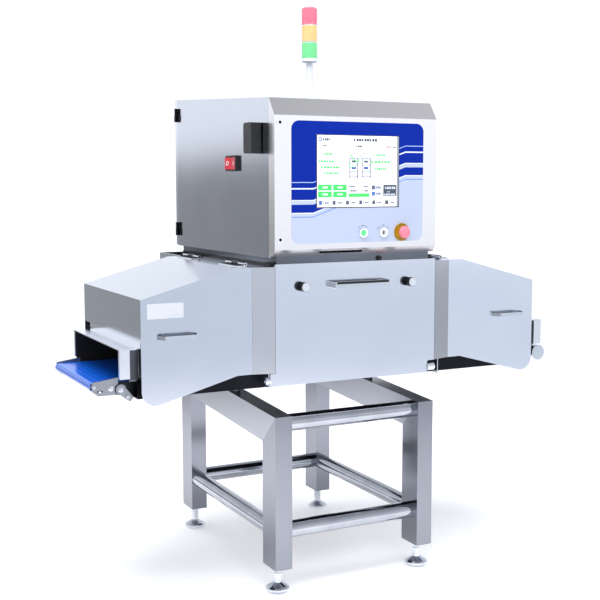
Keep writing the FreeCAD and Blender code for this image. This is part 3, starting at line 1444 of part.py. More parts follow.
tongue_reach = cabinet_front + cabinet_skin + console_gap
lock("console_lock_upper", lock_x, as_size(0), 1, lock_upper_z, tongue_reach)
lock("console_lock_lower", lock_x, as_size(0), 1, lock_lower_z, tongue_reach)

# Rear door: a pan that closes the cabinet's back
rear_front = cabinet_rear + console_gap
rear_pan = prism("rear_pan", "x", -cabinet_half, cabinet_half, [
    (rear_front, rear_bottom),
    (rear_face, rear_bottom),
    (rear_face, roof(rear_face)),
    (rear_front, roof(rear_front))])
rear_hollow = prism("rear_hollow", "x", -cabinet_half + rear_skin,
                    cabinet_half - rear_skin, [
                        (rear_front - 1, rear_bottom + rear_skin),
                        (rear_face - rear_skin, rear_bottom + rear_skin),
                        (rear_face - rear_skin, roof(rear_face - rear_skin) - rear_skin),
                        (rear_front - 1, roof(rear_front - 1) - rear_skin)])
rear_hole = rod("rear_hole", "y", rear_lock_x, rear_face - rear_skin - 1, rear_lock_z,
                lock_radius + running_gap, rear_skin + 2)
keep("rear_door", cut("rear_door", rear_pan, rear_hollow, rear_hole))
lock("rear_door_lock", rear_lock_x, rear_face, -1, rear_lock_z,
     rear_thick + cabinet_skin + 2 * console_gap)

# Signal tower on the sloping roof
under_roof = prism("under_roof", "x", -60, 60, [
    (tower_y - 60, roof(tower_y - 60) - 40),
    (tower_y + 60, roof(tower_y + 60) - 40),
    (tower_y + 60, roof(tower_y + 60)),
    (tower_y - 60, roof(tower_y - 60))])
flange_start = roof(tower_y) - 10
flange_height = tower_flange_z - flange_start
flange = turned("tower_flange_body", "z", 0, tower_y, flange_start, [
    (0, 0),
    (tower_flange, 0),
    (tower_flange, flange_height - 8),
    (tower_flange - 6, flange_height - 3),
    (tower_pole + 2, flange_height),
    (tower_pole, tower_base_z - flange_start),
    (0, tower_base_z - flange_start)])
stand = cut("tower_pole", flange, under_roof)
tower_parts = [stand]
base_plate = turned("tower_base", "z", 0, tower_y, tower_base_z, [
    (0, 0),
    (lamp_radius - 4, 0),
    (lamp_radius, 3),
    (lamp_radius, tower_base_top - tower_base_z),
    (0, tower_base_top - tower_base_z)])
tower_parts.append(base_plate)
z = tower_base_top
for colour in ("green", "amber", "red"):
    top = lamp_height + (cap_height if colour == "red" else 0)
    lamp = turned(colour + "_lamp", "z", 0, tower_y, z, [
        (0, 0),
        (lamp_radius, 0),
        (lamp_radius, lamp_height),
        (lamp_radius - (6 if colour == "red" else 0), top),
        (0, top)]) if colour == "red" else rod(
            colour + "_lamp", "z", 0, tower_y, z, lamp_radius, lamp_height)
    keep(colour + "_lamp", lamp)
    z = z + lamp_height
    if colour != "red":
        tower_parts.append(rod("spacer_" + colour, "z", 0, tower_y, z, lamp_radius - 3,
                               spacer_height))
        z = z + spacer_height
keep("signal_tower_stand", group("signal_tower_stand", *tower_parts))

# Main switch: a frame on the left side with a rocker that tips about its middle
wall = -cabinet_half
frame_block = rounded("switch_block", "x", wall - switch_proud, wall,
                      switch_y - switch_width / 2, switch_y + switch_width / 2,
                      switch_z - switch_height / 2, switch_z + switch_height / 2, 4)
frame_hole = box("switch_window", wall - switch_proud - 1, wall + 1,
                 switch_y - rocker_half - rocker_gap, switch_y + rocker_half + rocker_gap,
                 switch_z - rocker_height / 2 - rocker_gap / 2,
                 switch_z + rocker_height / 2 + rocker_gap / 2)
pivot_x = wall - rocker_axis
pivot_z0 = switch_z - rocker_height / 2 - rocker_gap / 2 - 3
pivot_length = rocker_height + rocker_gap + 6
frame_bore = rod("switch_bore", "z", pivot_x, switch_y, pivot_z0 - 0.3,
                 2 + running_gap, pivot_length + 0.6)
keep("main_switch_frame", cut("main_switch_frame", frame_block, frame_hole, frame_bore))
tilt = math.tan(math.radians(rocker_tilt.value))
end_rise = rocker_half * tilt
rocker_body = prism("rocker_body", "z", switch_z - rocker_height / 2,
                    switch_z + rocker_height / 2, [
                        (pivot_x - rocker_face, switch_y),
                        (pivot_x - rocker_face, switch_y - rocker_half + 0.5),
                        (pivot_x - 0.5, switch_y - rocker_half + 0.5),
                        (pivot_x + 1.5, switch_y - 6),
                        (pivot_x + 1.5, switch_y + 6),
                        (pivot_x - 3, switch_y + rocker_half - 1),
                        (pivot_x - rocker_face - 2 * end_rise,
                         switch_y + rocker_half - 2)])
rocker_pin = rod("rocker_pin", "z", pivot_x, switch_y, pivot_z0, 2, pivot_length)
keep("main_switch_rocker", fuse("main_switch_rocker", rocker_body, rocker_pin))

# Service box on the left side, on four short feet
box_wall = wall - service_foot
service_case = rounded("service_case", "x", wall - service_depth - service_foot,
                       box_wall, service_y - service_width / 2,
                       service_y + service_width / 2, service_z - service_height / 2,
                       service_z + service_height / 2, service_corner)
service_feet = []
for dy in (-1, 1):
    for dz in (-1, 1):
        service_feet.append(rod(
            "service_foot_%d" % len(service_feet), "x", box_wall - 1,
            service_y + dy * (service_width / 2 - service_corner - 2),
            service_z + dz * (service_height / 2 - service_corner - 2), 5,
            service_foot + 1))
keep("service_box", fuse("service_box", service_case, *service_feet))

# Build, check and write
doc.recompute()
faults = []
for item in doc.Objects:
    if "Invalid" in item.State or "Error" in item.State:
        faults.append("%s: %s" % (item.Name, item.State))
for node, item in finished:
    shape = item.Shape
    if shape.isNull() or not shape.isValid() or not shape.Solids:
        faults.append(node + ": no valid shape")
if len(finished) > 60 or len({node for node, item in finished}) != len(finished):
    faults.append("sub-part names")
if faults:
    raise RuntimeError("; ".join(faults))
os.makedirs("parts", exist_ok=True)
for node, item in finished:
    item.Shape.exportStep(os.path.join("parts", node + ".step"))
    print(node, len(item.Shape.Solids), round(item.Shape.Volume / 1000, 1))
print(len(finished), "sub-parts")
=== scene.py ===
"""Looks of the x-ray inspection machine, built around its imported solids.

Lengths in the calls below are millimetres of the machine's own datum: X from the
middle of the chamber, Y from the console's face towards the back, Z from the
floor.  P() turns them into metres of the frame.
"""

import json
import math

import bmesh
import bpy
from mathutils import Matrix, Vector
from mathutils.bvhtree import BVHTree


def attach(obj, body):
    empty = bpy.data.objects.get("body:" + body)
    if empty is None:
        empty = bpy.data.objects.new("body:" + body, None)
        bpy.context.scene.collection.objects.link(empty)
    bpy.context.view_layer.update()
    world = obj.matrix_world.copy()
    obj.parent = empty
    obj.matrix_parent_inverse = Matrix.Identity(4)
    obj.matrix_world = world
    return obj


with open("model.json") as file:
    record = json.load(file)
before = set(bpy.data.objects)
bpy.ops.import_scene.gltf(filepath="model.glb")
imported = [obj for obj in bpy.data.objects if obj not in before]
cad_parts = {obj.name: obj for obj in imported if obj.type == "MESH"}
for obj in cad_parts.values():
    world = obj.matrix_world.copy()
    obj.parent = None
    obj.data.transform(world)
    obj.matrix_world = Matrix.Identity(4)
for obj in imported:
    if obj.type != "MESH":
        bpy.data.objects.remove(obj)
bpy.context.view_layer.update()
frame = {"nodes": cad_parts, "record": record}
NODES = frame["nodes"]
SHIFT_X, SHIFT_Y = 31.25, -418.95


def P(x, y, z):
    """Millimetres of the machine's datum as metres of the frame."""
    return Vector(((x + SHIFT_X) / 1000, (y + SHIFT_Y) / 1000, z / 1000))


def linear(r, g, b):
    """An sRGB colour given from 0 to 255 as linear RGBA."""
    out = []
    for c in (r, g, b):
        c = c / 255
        out.append(c / 12.92 if c <= 0.04045 else ((c + 0.055) / 1.055) ** 2.4)
    return (*out, 1.0)


def shade(colour, factor):
    """A linear colour made darker by a factor."""
    return tuple(factor * c for c in colour[:3]) + (1.0,)


class Nodes:
    """Short calls for building one material's node tree."""

    def __init__(self, name):
        self.material = bpy.data.materials.new(name)
        self.material.use_nodes = True
        self.tree = self.material.node_tree
        self.shader = self.tree.nodes["Principled BSDF"]
        coords = self.tree.nodes.new("ShaderNodeTexCoord")
        self.place = coords.outputs["Object"]
        self.facing = coords.outputs["Normal"]

    def new(self, kind, **settings):
        node = self.tree.nodes.new(kind)
        for key, value in settings.items():
            setattr(node, key, value)
        return node

    def link(self, start, end):
        self.tree.links.new(start, end)

    def scaled(self, x, y, z, source=None):
        node = self.new("ShaderNodeMapping")
        node.inputs["Scale"].default_value = (x, y, z)
        self.link(source or self.place, node.inputs["Vector"])
        return node.outputs["Vector"]

    def noise(self, where, scale=1.0, detail=3.0, roughness=0.5):
        node = self.new("ShaderNodeTexNoise")
        node.inputs["Scale"].default_value = scale
        node.inputs["Detail"].default_value = detail
        node.inputs["Roughness"].default_value = roughness
        self.link(where, node.inputs["Vector"])
        return node.outputs["Fac"]

    def even(self, scale, detail=2.0, roughness=0.5):
        """Noise of the same scale in all directions."""
        return self.noise(self.scaled(scale, scale, scale), 1.0, detail, roughness)

    def span(self, value, low, high, to_low, to_high):
        node = self.new("ShaderNodeMapRange")
        for socket, number in zip(("From Min", "From Max", "To Min", "To Max"),
                                  (low, high, to_low, to_high)):
            node.inputs[socket].default_value = number
        self.link(value, node.inputs["Value"])
        return node.outputs["Result"]

    def math(self, operation, a, b=None):
        node = self.new("ShaderNodeMath", operation=operation)
        for socket, value in ((0, a), (1, b)):
            if value is None:
                continue
            if isinstance(value, (int, float)):
                node.inputs[socket].default_value = value
            else:
                self.link(value, node.inputs[socket])
        return node.outputs[0]

    def axes(self, vector):
        node = self.new("ShaderNodeSeparateXYZ")
        self.link(vector, node.inputs["Vector"])
        return node.outputs

    def mix(self, factor, first, last, kind="MIX"):
        """Two colours mixed: the first comes by a link, the last may be a constant."""
        node = self.new("ShaderNodeMix", data_type="RGBA", blend_type=kind)
        self.link(factor, node.inputs["Factor"])
        self.link(first, node.inputs["A"])
        if isinstance(last, tuple):
            node.inputs["B"].default_value = last
        else:
            self.link(last, node.inputs["B"])
        return node.outputs["Result"]

    def ramp(self, value, stops, stepped=False):
        node = self.new("ShaderNodeValToRGB")
        node.color_ramp.interpolation = "CONSTANT" if stepped else "LINEAR"
        marks = node.color_ramp.elements
        while len(marks) < len(stops):
            marks.new(0.5)
        for mark, (place, colour) in zip(marks, stops):
            mark.position = place
            mark.color = colour
        self.link(value, node.inputs["Fac"])
        return node.outputs["Color"]

    def bump(self, height, strength, distance=0.001):
        node = self.new("ShaderNodeBump")
        node.inputs["Strength"].default_value = strength
        node.inputs["Distance"].default_value = distance
        self.link(height, node.inputs["Height"])
        self.link(node.outputs["Normal"], self.shader.inputs["Normal"])

    def set(self, **values):
        names = {"metal": "Metallic", "rough": "Roughness", "gloss": "Specular IOR Level",
                 "coat": "Coat Weight", "coat_rough": "Coat Roughness",
                 "glow": "Emission Strength", "glow_colour": "Emission Color",
                 "scatter": "Subsurface Weight", "depth": "Subsurface Scale"}
        for key, value in values.items():
            self.shader.inputs[names[key]].default_value = value
        return self


def steel(name, light, dark, rough, grain=0.012, cloud=0.012, under=1.0):
    """Ground stainless sheet: fine level grain, with soft clouds in its gloss.  Faces
    that look down get painted shade: their colour is multiplied by the factor under."""
    n = Nodes(name).set(metal=1.0)
    lines = n.noise(n.scaled(3, 3, 900), 1.0, 2.0, 0.6)
    clouds = n.even(4, 3.0, 0.55)
    colour = n.ramp(n.span(clouds, 0.3, 0.7, 0.0, 1.0), [(0.0, dark), (1.0, light)])
    if under < 1.0:
        # painted shade: the colour of faces that look down is multiplied by the factor
        # under
        underside_shade = n.span(n.axes(n.facing)["Z"], -0.3, -0.1, 1.0, 0.0)
        colour = n.mix(underside_shade, colour, (under, under, under * 1.04, 1.0), "MULTIPLY")
    n.link(colour, n.shader.inputs["Base Color"])
    rough_a = n.span(lines, 0.3, 0.7, rough - grain, rough + grain)
    rough_b = n.span(clouds, 0.3, 0.7, -cloud, cloud)
    n.link(n.math("ADD", rough_a, rough_b), n.shader.inputs["Roughness"])
    n.bump(lines, 0.012, 0.0002)
    return n.material


def polished(name, light, dark, rough):
    """Bright turned or polished steel with faint marks round it."""
    n = Nodes(name).set(metal=1.0)
    rings = n.noise(n.scaled(60, 60, 60), 6.0, 3.0, 0.6)
    spots = n.even(12)
    n.link(n.ramp(spots, [(0.35, dark), (0.65, light)]), n.shader.inputs["Base Color"])
    n.link(n.span(rings, 0.3, 0.7, rough * 0.7, rough * 1.5),
           n.shader.inputs["Roughness"])
    n.bump(rings, 0.04, 0.0002)
    return n.material


def steel_with_painted_sides(name, axis, start, end, first, last, rough):
    """Plated part with painted light and shade: faces turned one way take the last colour
    instead of the first, and their metalness, gloss and roughness follow.
    """
    n = Nodes(name)
    turned = n.span(n.axes(n.facing)[axis], start, end, 0.0, 1.0)
    grain = n.even(300)
    base = n.ramp(grain, [(0.3, shade(first, 0.9)), (0.7, first)])
    n.link(n.mix(turned, base, last), n.shader.inputs["Base Color"])
    shine = turned if last[0] > first[0] else n.math("SUBTRACT", 1.0, turned)
    n.link(n.math("MULTIPLY", shine, 0.9), n.shader.inputs["Metallic"])
    n.link(n.span(shine, 0.0, 1.0, 0.06, 0.5), n.shader.inputs["Specular IOR Level"])
    n.link(n.math("ADD", n.span(grain, 0.3, 0.7, rough * 0.8, rough * 1.3),
                  n.span(shine, 0.0, 1.0, 0.4, 0.0)), n.shader.inputs["Roughness"])
    n.bump(grain, 0.04, 0.0002)
    return n.material


def lock_face(node):
    """A lock with a bright rim round its black insert."""
    box = [NODES[node].matrix_world @ Vector(c) for c in NODES[node].bound_box]
    middle = sum(box, Vector()) / 8
    n = Nodes(node + "_face").set(metal=0.6)
    away = n.new("ShaderNodeVectorMath", operation="SUBTRACT")
    n.link(n.place, away.inputs[0])
    away.inputs[1].default_value = middle
    flat_way = n.new("ShaderNodeVectorMath", operation="LENGTH")
    n.link(n.scaled(1, 0, 1, away.outputs["Vector"]), flat_way.inputs[0])
    n.link(n.ramp(n.span(flat_way.outputs["Value"], 0.0046, 0.0052, 0.0, 1.0),
                  [(0.0, linear(12, 12, 14)), (1.0, linear(232, 231, 236))]),
           n.shader.inputs["Base Color"])
    grain = n.even(300)
    n.link(n.span(grain, 0.3, 0.7, 0.2, 0.3), n.shader.inputs["Roughness"])
    n.bump(grain, 0.04, 0.0002)
    return n.material


def plastic(name, light, dark, rough, grain=900.0, bump=0.12, **more):
    """Moulded or painted plastic with a fine grain."""
    n = Nodes(name).set(**more)
    grains = n.even(grain, 2.0, 0.6)
    patches = n.even(14, 3.0)
    n.link(n.ramp(patches, [(0.3, dark), (0.7, light)]), n.shader.inputs["Base Color"])
    n.link(n.span(patches, 0.3, 0.7, rough - 0.05, rough + 0.05),
           n.shader.inputs["Roughness"])
    n.bump(grains, bump, 0.0002)
    return n.material


def belt_material():
    """Blue food belt: a grid of dimples on a glossy face, the dimples coloured dark blue
    as painted shade.
    """
    n = Nodes("belt_blue")
    cells = n.new("ShaderNodeTexVoronoi", voronoi_dimensions="2D")
    cells.inputs["Scale"].default_value = 1.0
    cells.inputs["Randomness"].default_value = 0.0
    along, across = 0.020, 0.028
    n.link(n.scaled(1 / along, 1 / across, 1 / along), cells.inputs["Vector"])
    dots = n.span(cells.outputs["Distance"], 0.17, 0.21, 1.0, 0.0)
    weave = n.even(900)
    tone = n.even(5, 3.0)
    base = n.ramp(tone, [(0.3, linear(3, 88, 206)), (0.7, linear(5, 96, 218))])
    # painted shade: the dimples take a dark blue
    n.link(n.mix(dots, base, linear(1, 22, 78)), n.shader.inputs["Base Color"])
    n.link(n.span(weave, 0.3, 0.7, 0.3, 0.38), n.shader.inputs["Roughness"])
    n.set(coat=0.6, coat_rough=0.22)
    n.bump(n.math("SUBTRACT", n.math("MULTIPLY", weave, 0.25), dots), 0.5, 0.0006)
    return n.material


def overlay_material():
    """Console foil: deep blue above, pale blue below, with bands that step up to
    the right behind the screen."""
    n = Nodes("overlay_blue").set(gloss=0.12)
    place = n.axes(n.place)
    low, high = P(-165, 0, 0).x, P(178, 0, 0).x
    rise = n.span(place["X"], low, high, 0.0, 0.119)
    level = n.math("SUBTRACT", place["Z"], rise)
    bottom, top = 1.2, 1.36
    deep, pale = linear(0, 36, 146), linear(180, 190, 212)
    white, line = linear(222, 227, 240), linear(90, 132, 215)
    soft = linear(168, 192, 240)
    stops = [(0.0, pale), (1.2250, line), (1.2272, pale), (1.2365, white),
             (1.2395, deep), (1.2655, pale), (1.2775, white), (1.2800, deep),
             (1.3130, white), (1.3175, deep), (1.3335, soft), (1.3360, deep)]
    stops = [(0.0 if z == 0.0 else (z - bottom) / (top - bottom), c) for z, c in stops]
    n.link(n.ramp(n.span(level, bottom, top, 0.0, 1.0), stops, stepped=True),
           n.shader.inputs["Base Color"])
    grain = n.even(1400)
    n.link(n.span(grain, 0.3, 0.7, 0.34, 0.44), n.shader.inputs["Roughness"])
    n.bump(grain, 0.05, 0.0001)
    return n.material


def lamp_material(name, colour, glow):
    """Ribbed translucent lens."""
    n = Nodes(name).set(rough=0.22, scatter=0.6, depth=0.01, glow=0.2,
                        glow_colour=glow, coat=0.3, coat_rough=0.1)
    rib = 0.004
    wave = n.math("SINE", n.math("MULTIPLY", n.axes(n.place)["Z"], 2 * math.pi / rib))
    n.link(n.ramp(n.span(wave, -1.0, 1.0, 0.0, 1.0),
                  [(0.0, shade(colour, 0.86)), (1.0, colour)]),
           n.shader.inputs["Base Color"])
    n.bump(wave, 0.5, 0.0008)
    return n.material


MATERIALS = {
    "stainless_steel": steel("stainless_steel", linear(230, 233, 241),
                             linear(226, 229, 238), 0.15),
    "polished_steel": polished("polished_steel", linear(226, 229, 235),
                               linear(204, 208, 216), 0.13),
    "belt_blue": belt_material(),
    "lead_rubber": plastic("lead_rubber", linear(38, 39, 42), linear(24, 25, 28), 0.62,
                           grain=260.0, bump=0.3),
    "black_rubber": plastic("black_rubber", linear(26, 27, 30), linear(14, 15, 17),
                            0.55, grain=400.0, bump=0.25),
    "detector_grey": plastic("detector_grey", linear(74, 78, 86), linear(60, 64, 72),
                             0.42),
    "plated_steel": polished("plated_steel", linear(196, 190, 168),
                             linear(172, 166, 150), 0.34),
    "source_grey": plastic("source_grey", linear(150, 156, 164), linear(132, 138, 148),
                           0.4, gloss=0.6),
    "unit_grey": plastic("unit_grey", linear(196, 198, 200), linear(176, 178, 182),
                         0.45),
    "overlay_blue": overlay_material(),
    "screen_glass": plastic("screen_glass", linear(16, 17, 20), linear(9, 10, 12), 0.09,
                            grain=300.0, bump=0.01),
    "stop_yellow": plastic("stop_yellow", linear(186, 148, 20), linear(160, 122, 10),
                           0.38),
    "stop_red": plastic("stop_red", linear(240, 128, 146), linear(234, 112, 132), 0.3,
                        bump=0.05, coat=0.4),
    "start_green": plastic("start_green", linear(96, 222, 140), linear(70, 200, 120),
                           0.25, bump=0.02, coat=0.5, glow=0.25,
                           glow_colour=linear(90, 230, 140)),
    "tower_white": plastic("tower_white", linear(238, 240, 246), linear(226, 229, 238),
                           0.36, bump=0.04),
    "lamp_green": lamp_material("lamp_green", linear(122, 214, 146),
                                linear(110, 222, 142)),
    "lamp_amber": lamp_material("lamp_amber", linear(236, 192, 128),
                                linear(240, 202, 150)),
    "lamp_red": lamp_material("lamp_red", linear(238, 110, 134), linear(244, 124, 148)),
    "black_plastic": plastic("black_plastic", linear(30, 31, 34), linear(18, 19, 22),
                             0.4, grain=700.0, bump=0.18),
    "rocker_red": plastic("rocker_red", linear(214, 44, 62), linear(190, 28, 46), 0.3,
                          bump=0.03, coat=0.3),
}
# A darker copy of the stainless for the legs and posts: painted shade
LEG_SHADED_STEEL = steel("leg_steel_painted_shade", linear(140, 142, 151), linear(134, 137, 146), 0.17)
BEAM_STEEL = steel("beam_steel", linear(163, 166, 175), linear(158, 161, 170), 0.2)
TUNNEL_STEEL = steel("tunnel_steel", linear(238, 240, 245), linear(232, 235, 241), 0.2)
# the console door's faces that look down get painted shade at half brightness
CONSOLE_STEEL = steel("console_steel", linear(252, 248, 248), linear(249, 245, 246), 0.25,
                      under=0.5)
TUBE_STEEL = polished("tube_steel", linear(178, 181, 189), linear(166, 169, 178), 0.08)
# A near-black copy of the steel for the conveyor base: painted shade under the body
BASE_SHADED_STEEL = steel("base_steel_painted_shade", linear(38, 39, 44), linear(28, 29, 33), 0.46)
# A dark grey copy of the steel for sheets that stand for the tunnel's shaded wall: painted
# shade
WALL_SHADED_STEEL = steel("wall_painted_shade", linear(96, 99, 106), linear(74, 77, 84), 0.42)
PLINTH_STEEL = steel("plinth_steel", linear(126, 130, 138), linear(108, 112, 121), 0.34)
NOSE_STEEL = steel("nose_steel", linear(168, 171, 178), linear(146, 149, 157), 0.38)
SHELL_STEEL = steel("shell_steel", linear(214, 216, 224), linear(209, 212, 220), 0.13)
# The two hoods are lit and shaded copies of one steel: the outlet hood's lighter copy is
# painted light
HOOD_STEEL = steel("hood_steel", linear(219, 223, 232), linear(215, 219, 229), 0.15)
FAR_HOOD_LIT_STEEL = steel("far_hood_painted_light", linear(234, 237, 245), linear(230, 234, 243),
                       0.15)
# A near-black copy of the polished steel for the fixed hinge leaves: painted dark
# reflection
HINGE_DARK_REFLECTION = polished("hinge_painted_dark", linear(46, 47, 52), linear(20, 21, 24), 0.24)
# A dark copy of the steel for the conveyor's side rails: painted shade
RAIL_SHADED_STEEL = steel("rail_steel_painted_shade", linear(58, 60, 66), linear(50, 52, 58), 0.4)
# Rear hinge leaves: faces that look to the front are painted near black as shade
HINGE_SHADED = steel_with_painted_sides("hinge_painted_shade", "Y", -0.3, -0.6, linear(210, 212, 218),
                       linear(14, 15, 18), 0.14)
LOCK_STEEL = {word: lock_face(word)
              for word in ("console_lock_upper", "console_lock_lower")}
# Knobs: faces that look straight to the front are a painted highlight, the rest near black
# as painted dark reflection
KNOB_LIT_AND_SHADED = steel_with_painted_sides("knob_painted_light_and_shade", "Y", -0.6, -0.9, linear(24, 25, 29),
                      linear(244, 245, 248), 0.12)
# Door handle and hood fittings: faces that look up are painted near black as shade
BAR_SHADED = steel_with_painted_sides("bar_painted_shade", "Z", 0.55, 0.75, linear(222, 225, 232),
                     linear(12, 13, 16), 0.12)
OWN_STEEL = {"legs": LEG_SHADED_STEEL, "cross_tubes": TUBE_STEEL, "side_beams": BEAM_STEEL,
             "inlet_tunnel": TUNNEL_STEEL, "outlet_tunnel": TUNNEL_STEEL,
             "console_door": CONSOLE_STEEL, "support_posts": LEG_SHADED_STEEL,
             "conveyor_base": BASE_SHADED_STEEL, "cabinet_plinth": PLINTH_STEEL,
             "nose_side_plates": NOSE_STEEL, "conveyor_side_rails": RAIL_SHADED_STEEL,
             "cabinet_shell": SHELL_STEEL, "inlet_hood": HOOD_STEEL,
             "outlet_hood": FAR_HOOD_LIT_STEEL, "clamp_knob_left": KNOB_LIT_AND_SHADED,
             "clamp_knob_right": KNOB_LIT_AND_SHADED, "chamber_door_handle": BAR_SHADED,
             "rear_hinge_leaves": HINGE_SHADED, "fixed_hinge_leaves": HINGE_DARK_REFLECTION,
             "inlet_hood_fittings": BAR_SHADED, "outlet_hood_fittings": BAR_SHADED,
             **LOCK_STEEL}

SLOTS = {part["node"]: part["material_slot"] for part in frame["record"]["subparts"]}

# Widths of the broken edges, in millimetres
BEVEL = {"legs": 1.6, "side_beams": 1.6, "chamber_door": 1.2, "inlet_hood": 1.0,
         "outlet_hood": 1.0, "console_door": 1.0, "cabinet_shell": 0.8,
         "chamber_housing": 0.8, "inlet_tunnel": 0.6, "outlet_tunnel": 0.6,
         "conveyor_base": 0.8, "inlet_hood_fittings": 1.2,
         "outlet_hood_fittings": 1.2, "chamber_door_handle": 0.8,
         "nose_side_plates": 0.8, "fixed_hinge_leaves": 0.5, "service_box": 0.8,
         "main_switch_frame": 0.8, "main_switch_rocker": 0.8, "electrical_units": 1.0,
         "xray_source": 1.0, "cabinet_spacers": 0.8, "drum_end_mounts": 0.8,
         "clamp_knob_left": 0.8, "clamp_knob_right": 0.8, "touch_screen": 0.3}


def soften(item, width):
    """Break the edges of a sheet or block by a small radius, given in millimetres."""
    bevel = item.modifiers.new("broken_edges", "BEVEL")
    bevel.width = width / 1000
    bevel.segments = 2
    bevel.limit_method = "ANGLE"
    bevel.angle_limit = math.radians(40)
    bevel.harden_normals = False
    bevel.use_clamp_overlap = True


for name, item in NODES.items():
    item.data.materials.clear()
    item.data.materials.append(OWN_STEEL.get(name) or MATERIALS[SLOTS[name]])
    if name in BEVEL:
        soften(item, BEVEL[name])


# Makers of the small pieces that only the looks need

def mesh_object(name, mesh_in, materials, body):
    """A bmesh as an object that rides on a body, with the given materials."""
    mesh = bpy.data.meshes.new(name)
    bmesh.ops.recalc_face_normals(mesh_in, faces=mesh_in.faces)
    mesh_in.to_mesh(mesh)
    mesh_in.free()
    item = bpy.data.objects.new(name, mesh)
    bpy.context.scene.collection.objects.link(item)
    for material in materials:
        mesh.materials.append(material)
    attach(item, body)
    return item


def slab(mesh_in, points, thick, material=0):
    """A flat piece from its outline's points, pushed along a vector."""
    bottom = [mesh_in.verts.new(p) for p in points]
    top = [mesh_in.verts.new(p + thick) for p in points]
    faces = [mesh_in.faces.new(bottom[::-1]), mesh_in.faces.new(top)]
    count = len(points)
    for i in range(count):
        j = (i + 1) % count
        faces.append(mesh_in.faces.new((bottom[i], bottom[j], top[j], top[i])))
    for face in faces:
        face.material_index = material


def round_corners(u0, u1, v0, v1, radius, steps):
    """Corners of a rectangle with rounded corners, as (u, v) pairs."""
    points = []
    for cu, cv, start in ((u1 - radius, v1 - radius, 0), (u0 + radius, v1 - radius, 90),
                          (u0 + radius, v0 + radius, 180), (u1 - radius, v0 + radius, 270)):
        for i in range(steps + 1):
            a = math.radians(start + 90 * i / steps)
            points.append((cu + radius * math.cos(a), cv + radius * math.sin(a)))
    return points


def revolve(mesh_in, profile, origin, axis, steps):
    """Turn a profile of (radius, distance) pairs about an axis: a closed profile makes
    a ring, an open one is capped at both ends."""
    axis = Vector(axis).normalized()
    side = axis.orthogonal().normalized()
    up = axis.cross(side)
    rings = []
    loop = profile[0] == profile[-1]
    for radius, along in profile[:-1] if loop else profile:
        ring = []
        for i in range(steps):
            a = 2 * math.pi * i / steps
            ring.append(mesh_in.verts.new(
                origin + axis * along / 1000
                + (side * math.cos(a) + up * math.sin(a)) * radius / 1000))
        rings.append(ring)
    for ring, after in zip(rings, rings[1:] + rings[:1] if loop else rings[1:]):
        for i in range(steps):
            j = (i + 1) % steps
            face = mesh_in.faces.new((ring[i], ring[j], after[j], after[i]))
            face.smooth = True
    for ring in () if loop else (rings[0], rings[-1]):
        mesh_in.faces.new(ring)


# Screen picture: a generic page of a machine's controls, made of blocks and bars

def flat(name, colour, glow=0.0, rough=0.35):
    """Flat colour with a faint grain, glowing if a glow is given: print, lit screen ink,
    painted highlight and painted shade.
    """
    n = Nodes(name).set(rough=rough)
    grain = n.even(800)
    n.link(n.ramp(grain, [(0.3, shade(colour, 0.94)), (0.7, colour)]),
           n.shader.inputs["Base Color"])
    if glow:
        n.set(glow=glow, glow_colour=colour)
    return n.material


# Name, colour and glow of each ink of the page
INK = {word: flat("screen_" + word, linear(*colour), glow, 0.2) for word, colour, glow in (
    ("page", (250, 250, 255), 0.4), ("rule", (196, 202, 224), 0.2),
    ("mark", (84, 88, 106), 0.15), ("green", (60, 230, 90), 0.5),
    ("slate", (66, 72, 84), 0.2), ("blue", (74, 102, 176), 0.2),
    ("edge", (146, 150, 160), 0.1), ("red", (226, 96, 106), 0.3))}
INKS = list(INK)

# The page's sides, its lower and upper edge, its face, the step between two layers of
# ink and the thickness of one; the width of a line counts in the page's own units
LEFT, RIGHT, LOW, HIGH = -152.6, 152.6, 1255.4, 1484.6
PAGE_Y, LAYER, SHEET = -1.42, 0.08, 0.00007
LINE = 4.5
page = bmesh.new()


def on_page(u0, u1, v0, v1, ink, level=1):
    """A rectangle of ink; u and v run from 0 to 1000 across and down the page."""
    x0, x1 = (LEFT + (RIGHT - LEFT) * u / 1000 for u in (u0, u1))
    z1, z0 = (HIGH - (HIGH - LOW) * v / 1000 for v in (v0, v1))
    y = PAGE_Y - LAYER * level
    slab(page, [P(x0, y, z0), P(x1, y, z0), P(x1, y, z1), P(x0, y, z1)],
         Vector((0, -SHEET, 0)), INKS.index(ink))


def bars(u0, u1, v, height, ink, count):
    """A row of short bars."""
    step = (u1 - u0) / count
    for i in range(count):
        wide = step * (0.84 if i % 3 else 0.62)
        on_page(u0 + i * step, u0 + i * step + wide, v - height / 2, v + height / 2, ink, 3)


def run(points):
    """A thin green line through points of the page."""
    for (ua, va), (ub, vb) in zip(points, points[1:]):
        steps = 1 if ua == ub or va == vb else 10
        for i in range(steps):
            u0, u1 = ua + (ub - ua) * i / steps, ua + (ub - ua) * (i + 1) / steps
            v0, v1 = va + (vb - va) * i / steps, va + (vb - va) * (i + 1) / steps
            on_page(min(u0, u1) - LINE / 2, max(u0, u1) + LINE / 2,
                    min(v0, v1) - LINE / 1.5, max(v0, v1) + LINE / 1.5, "green", 2)


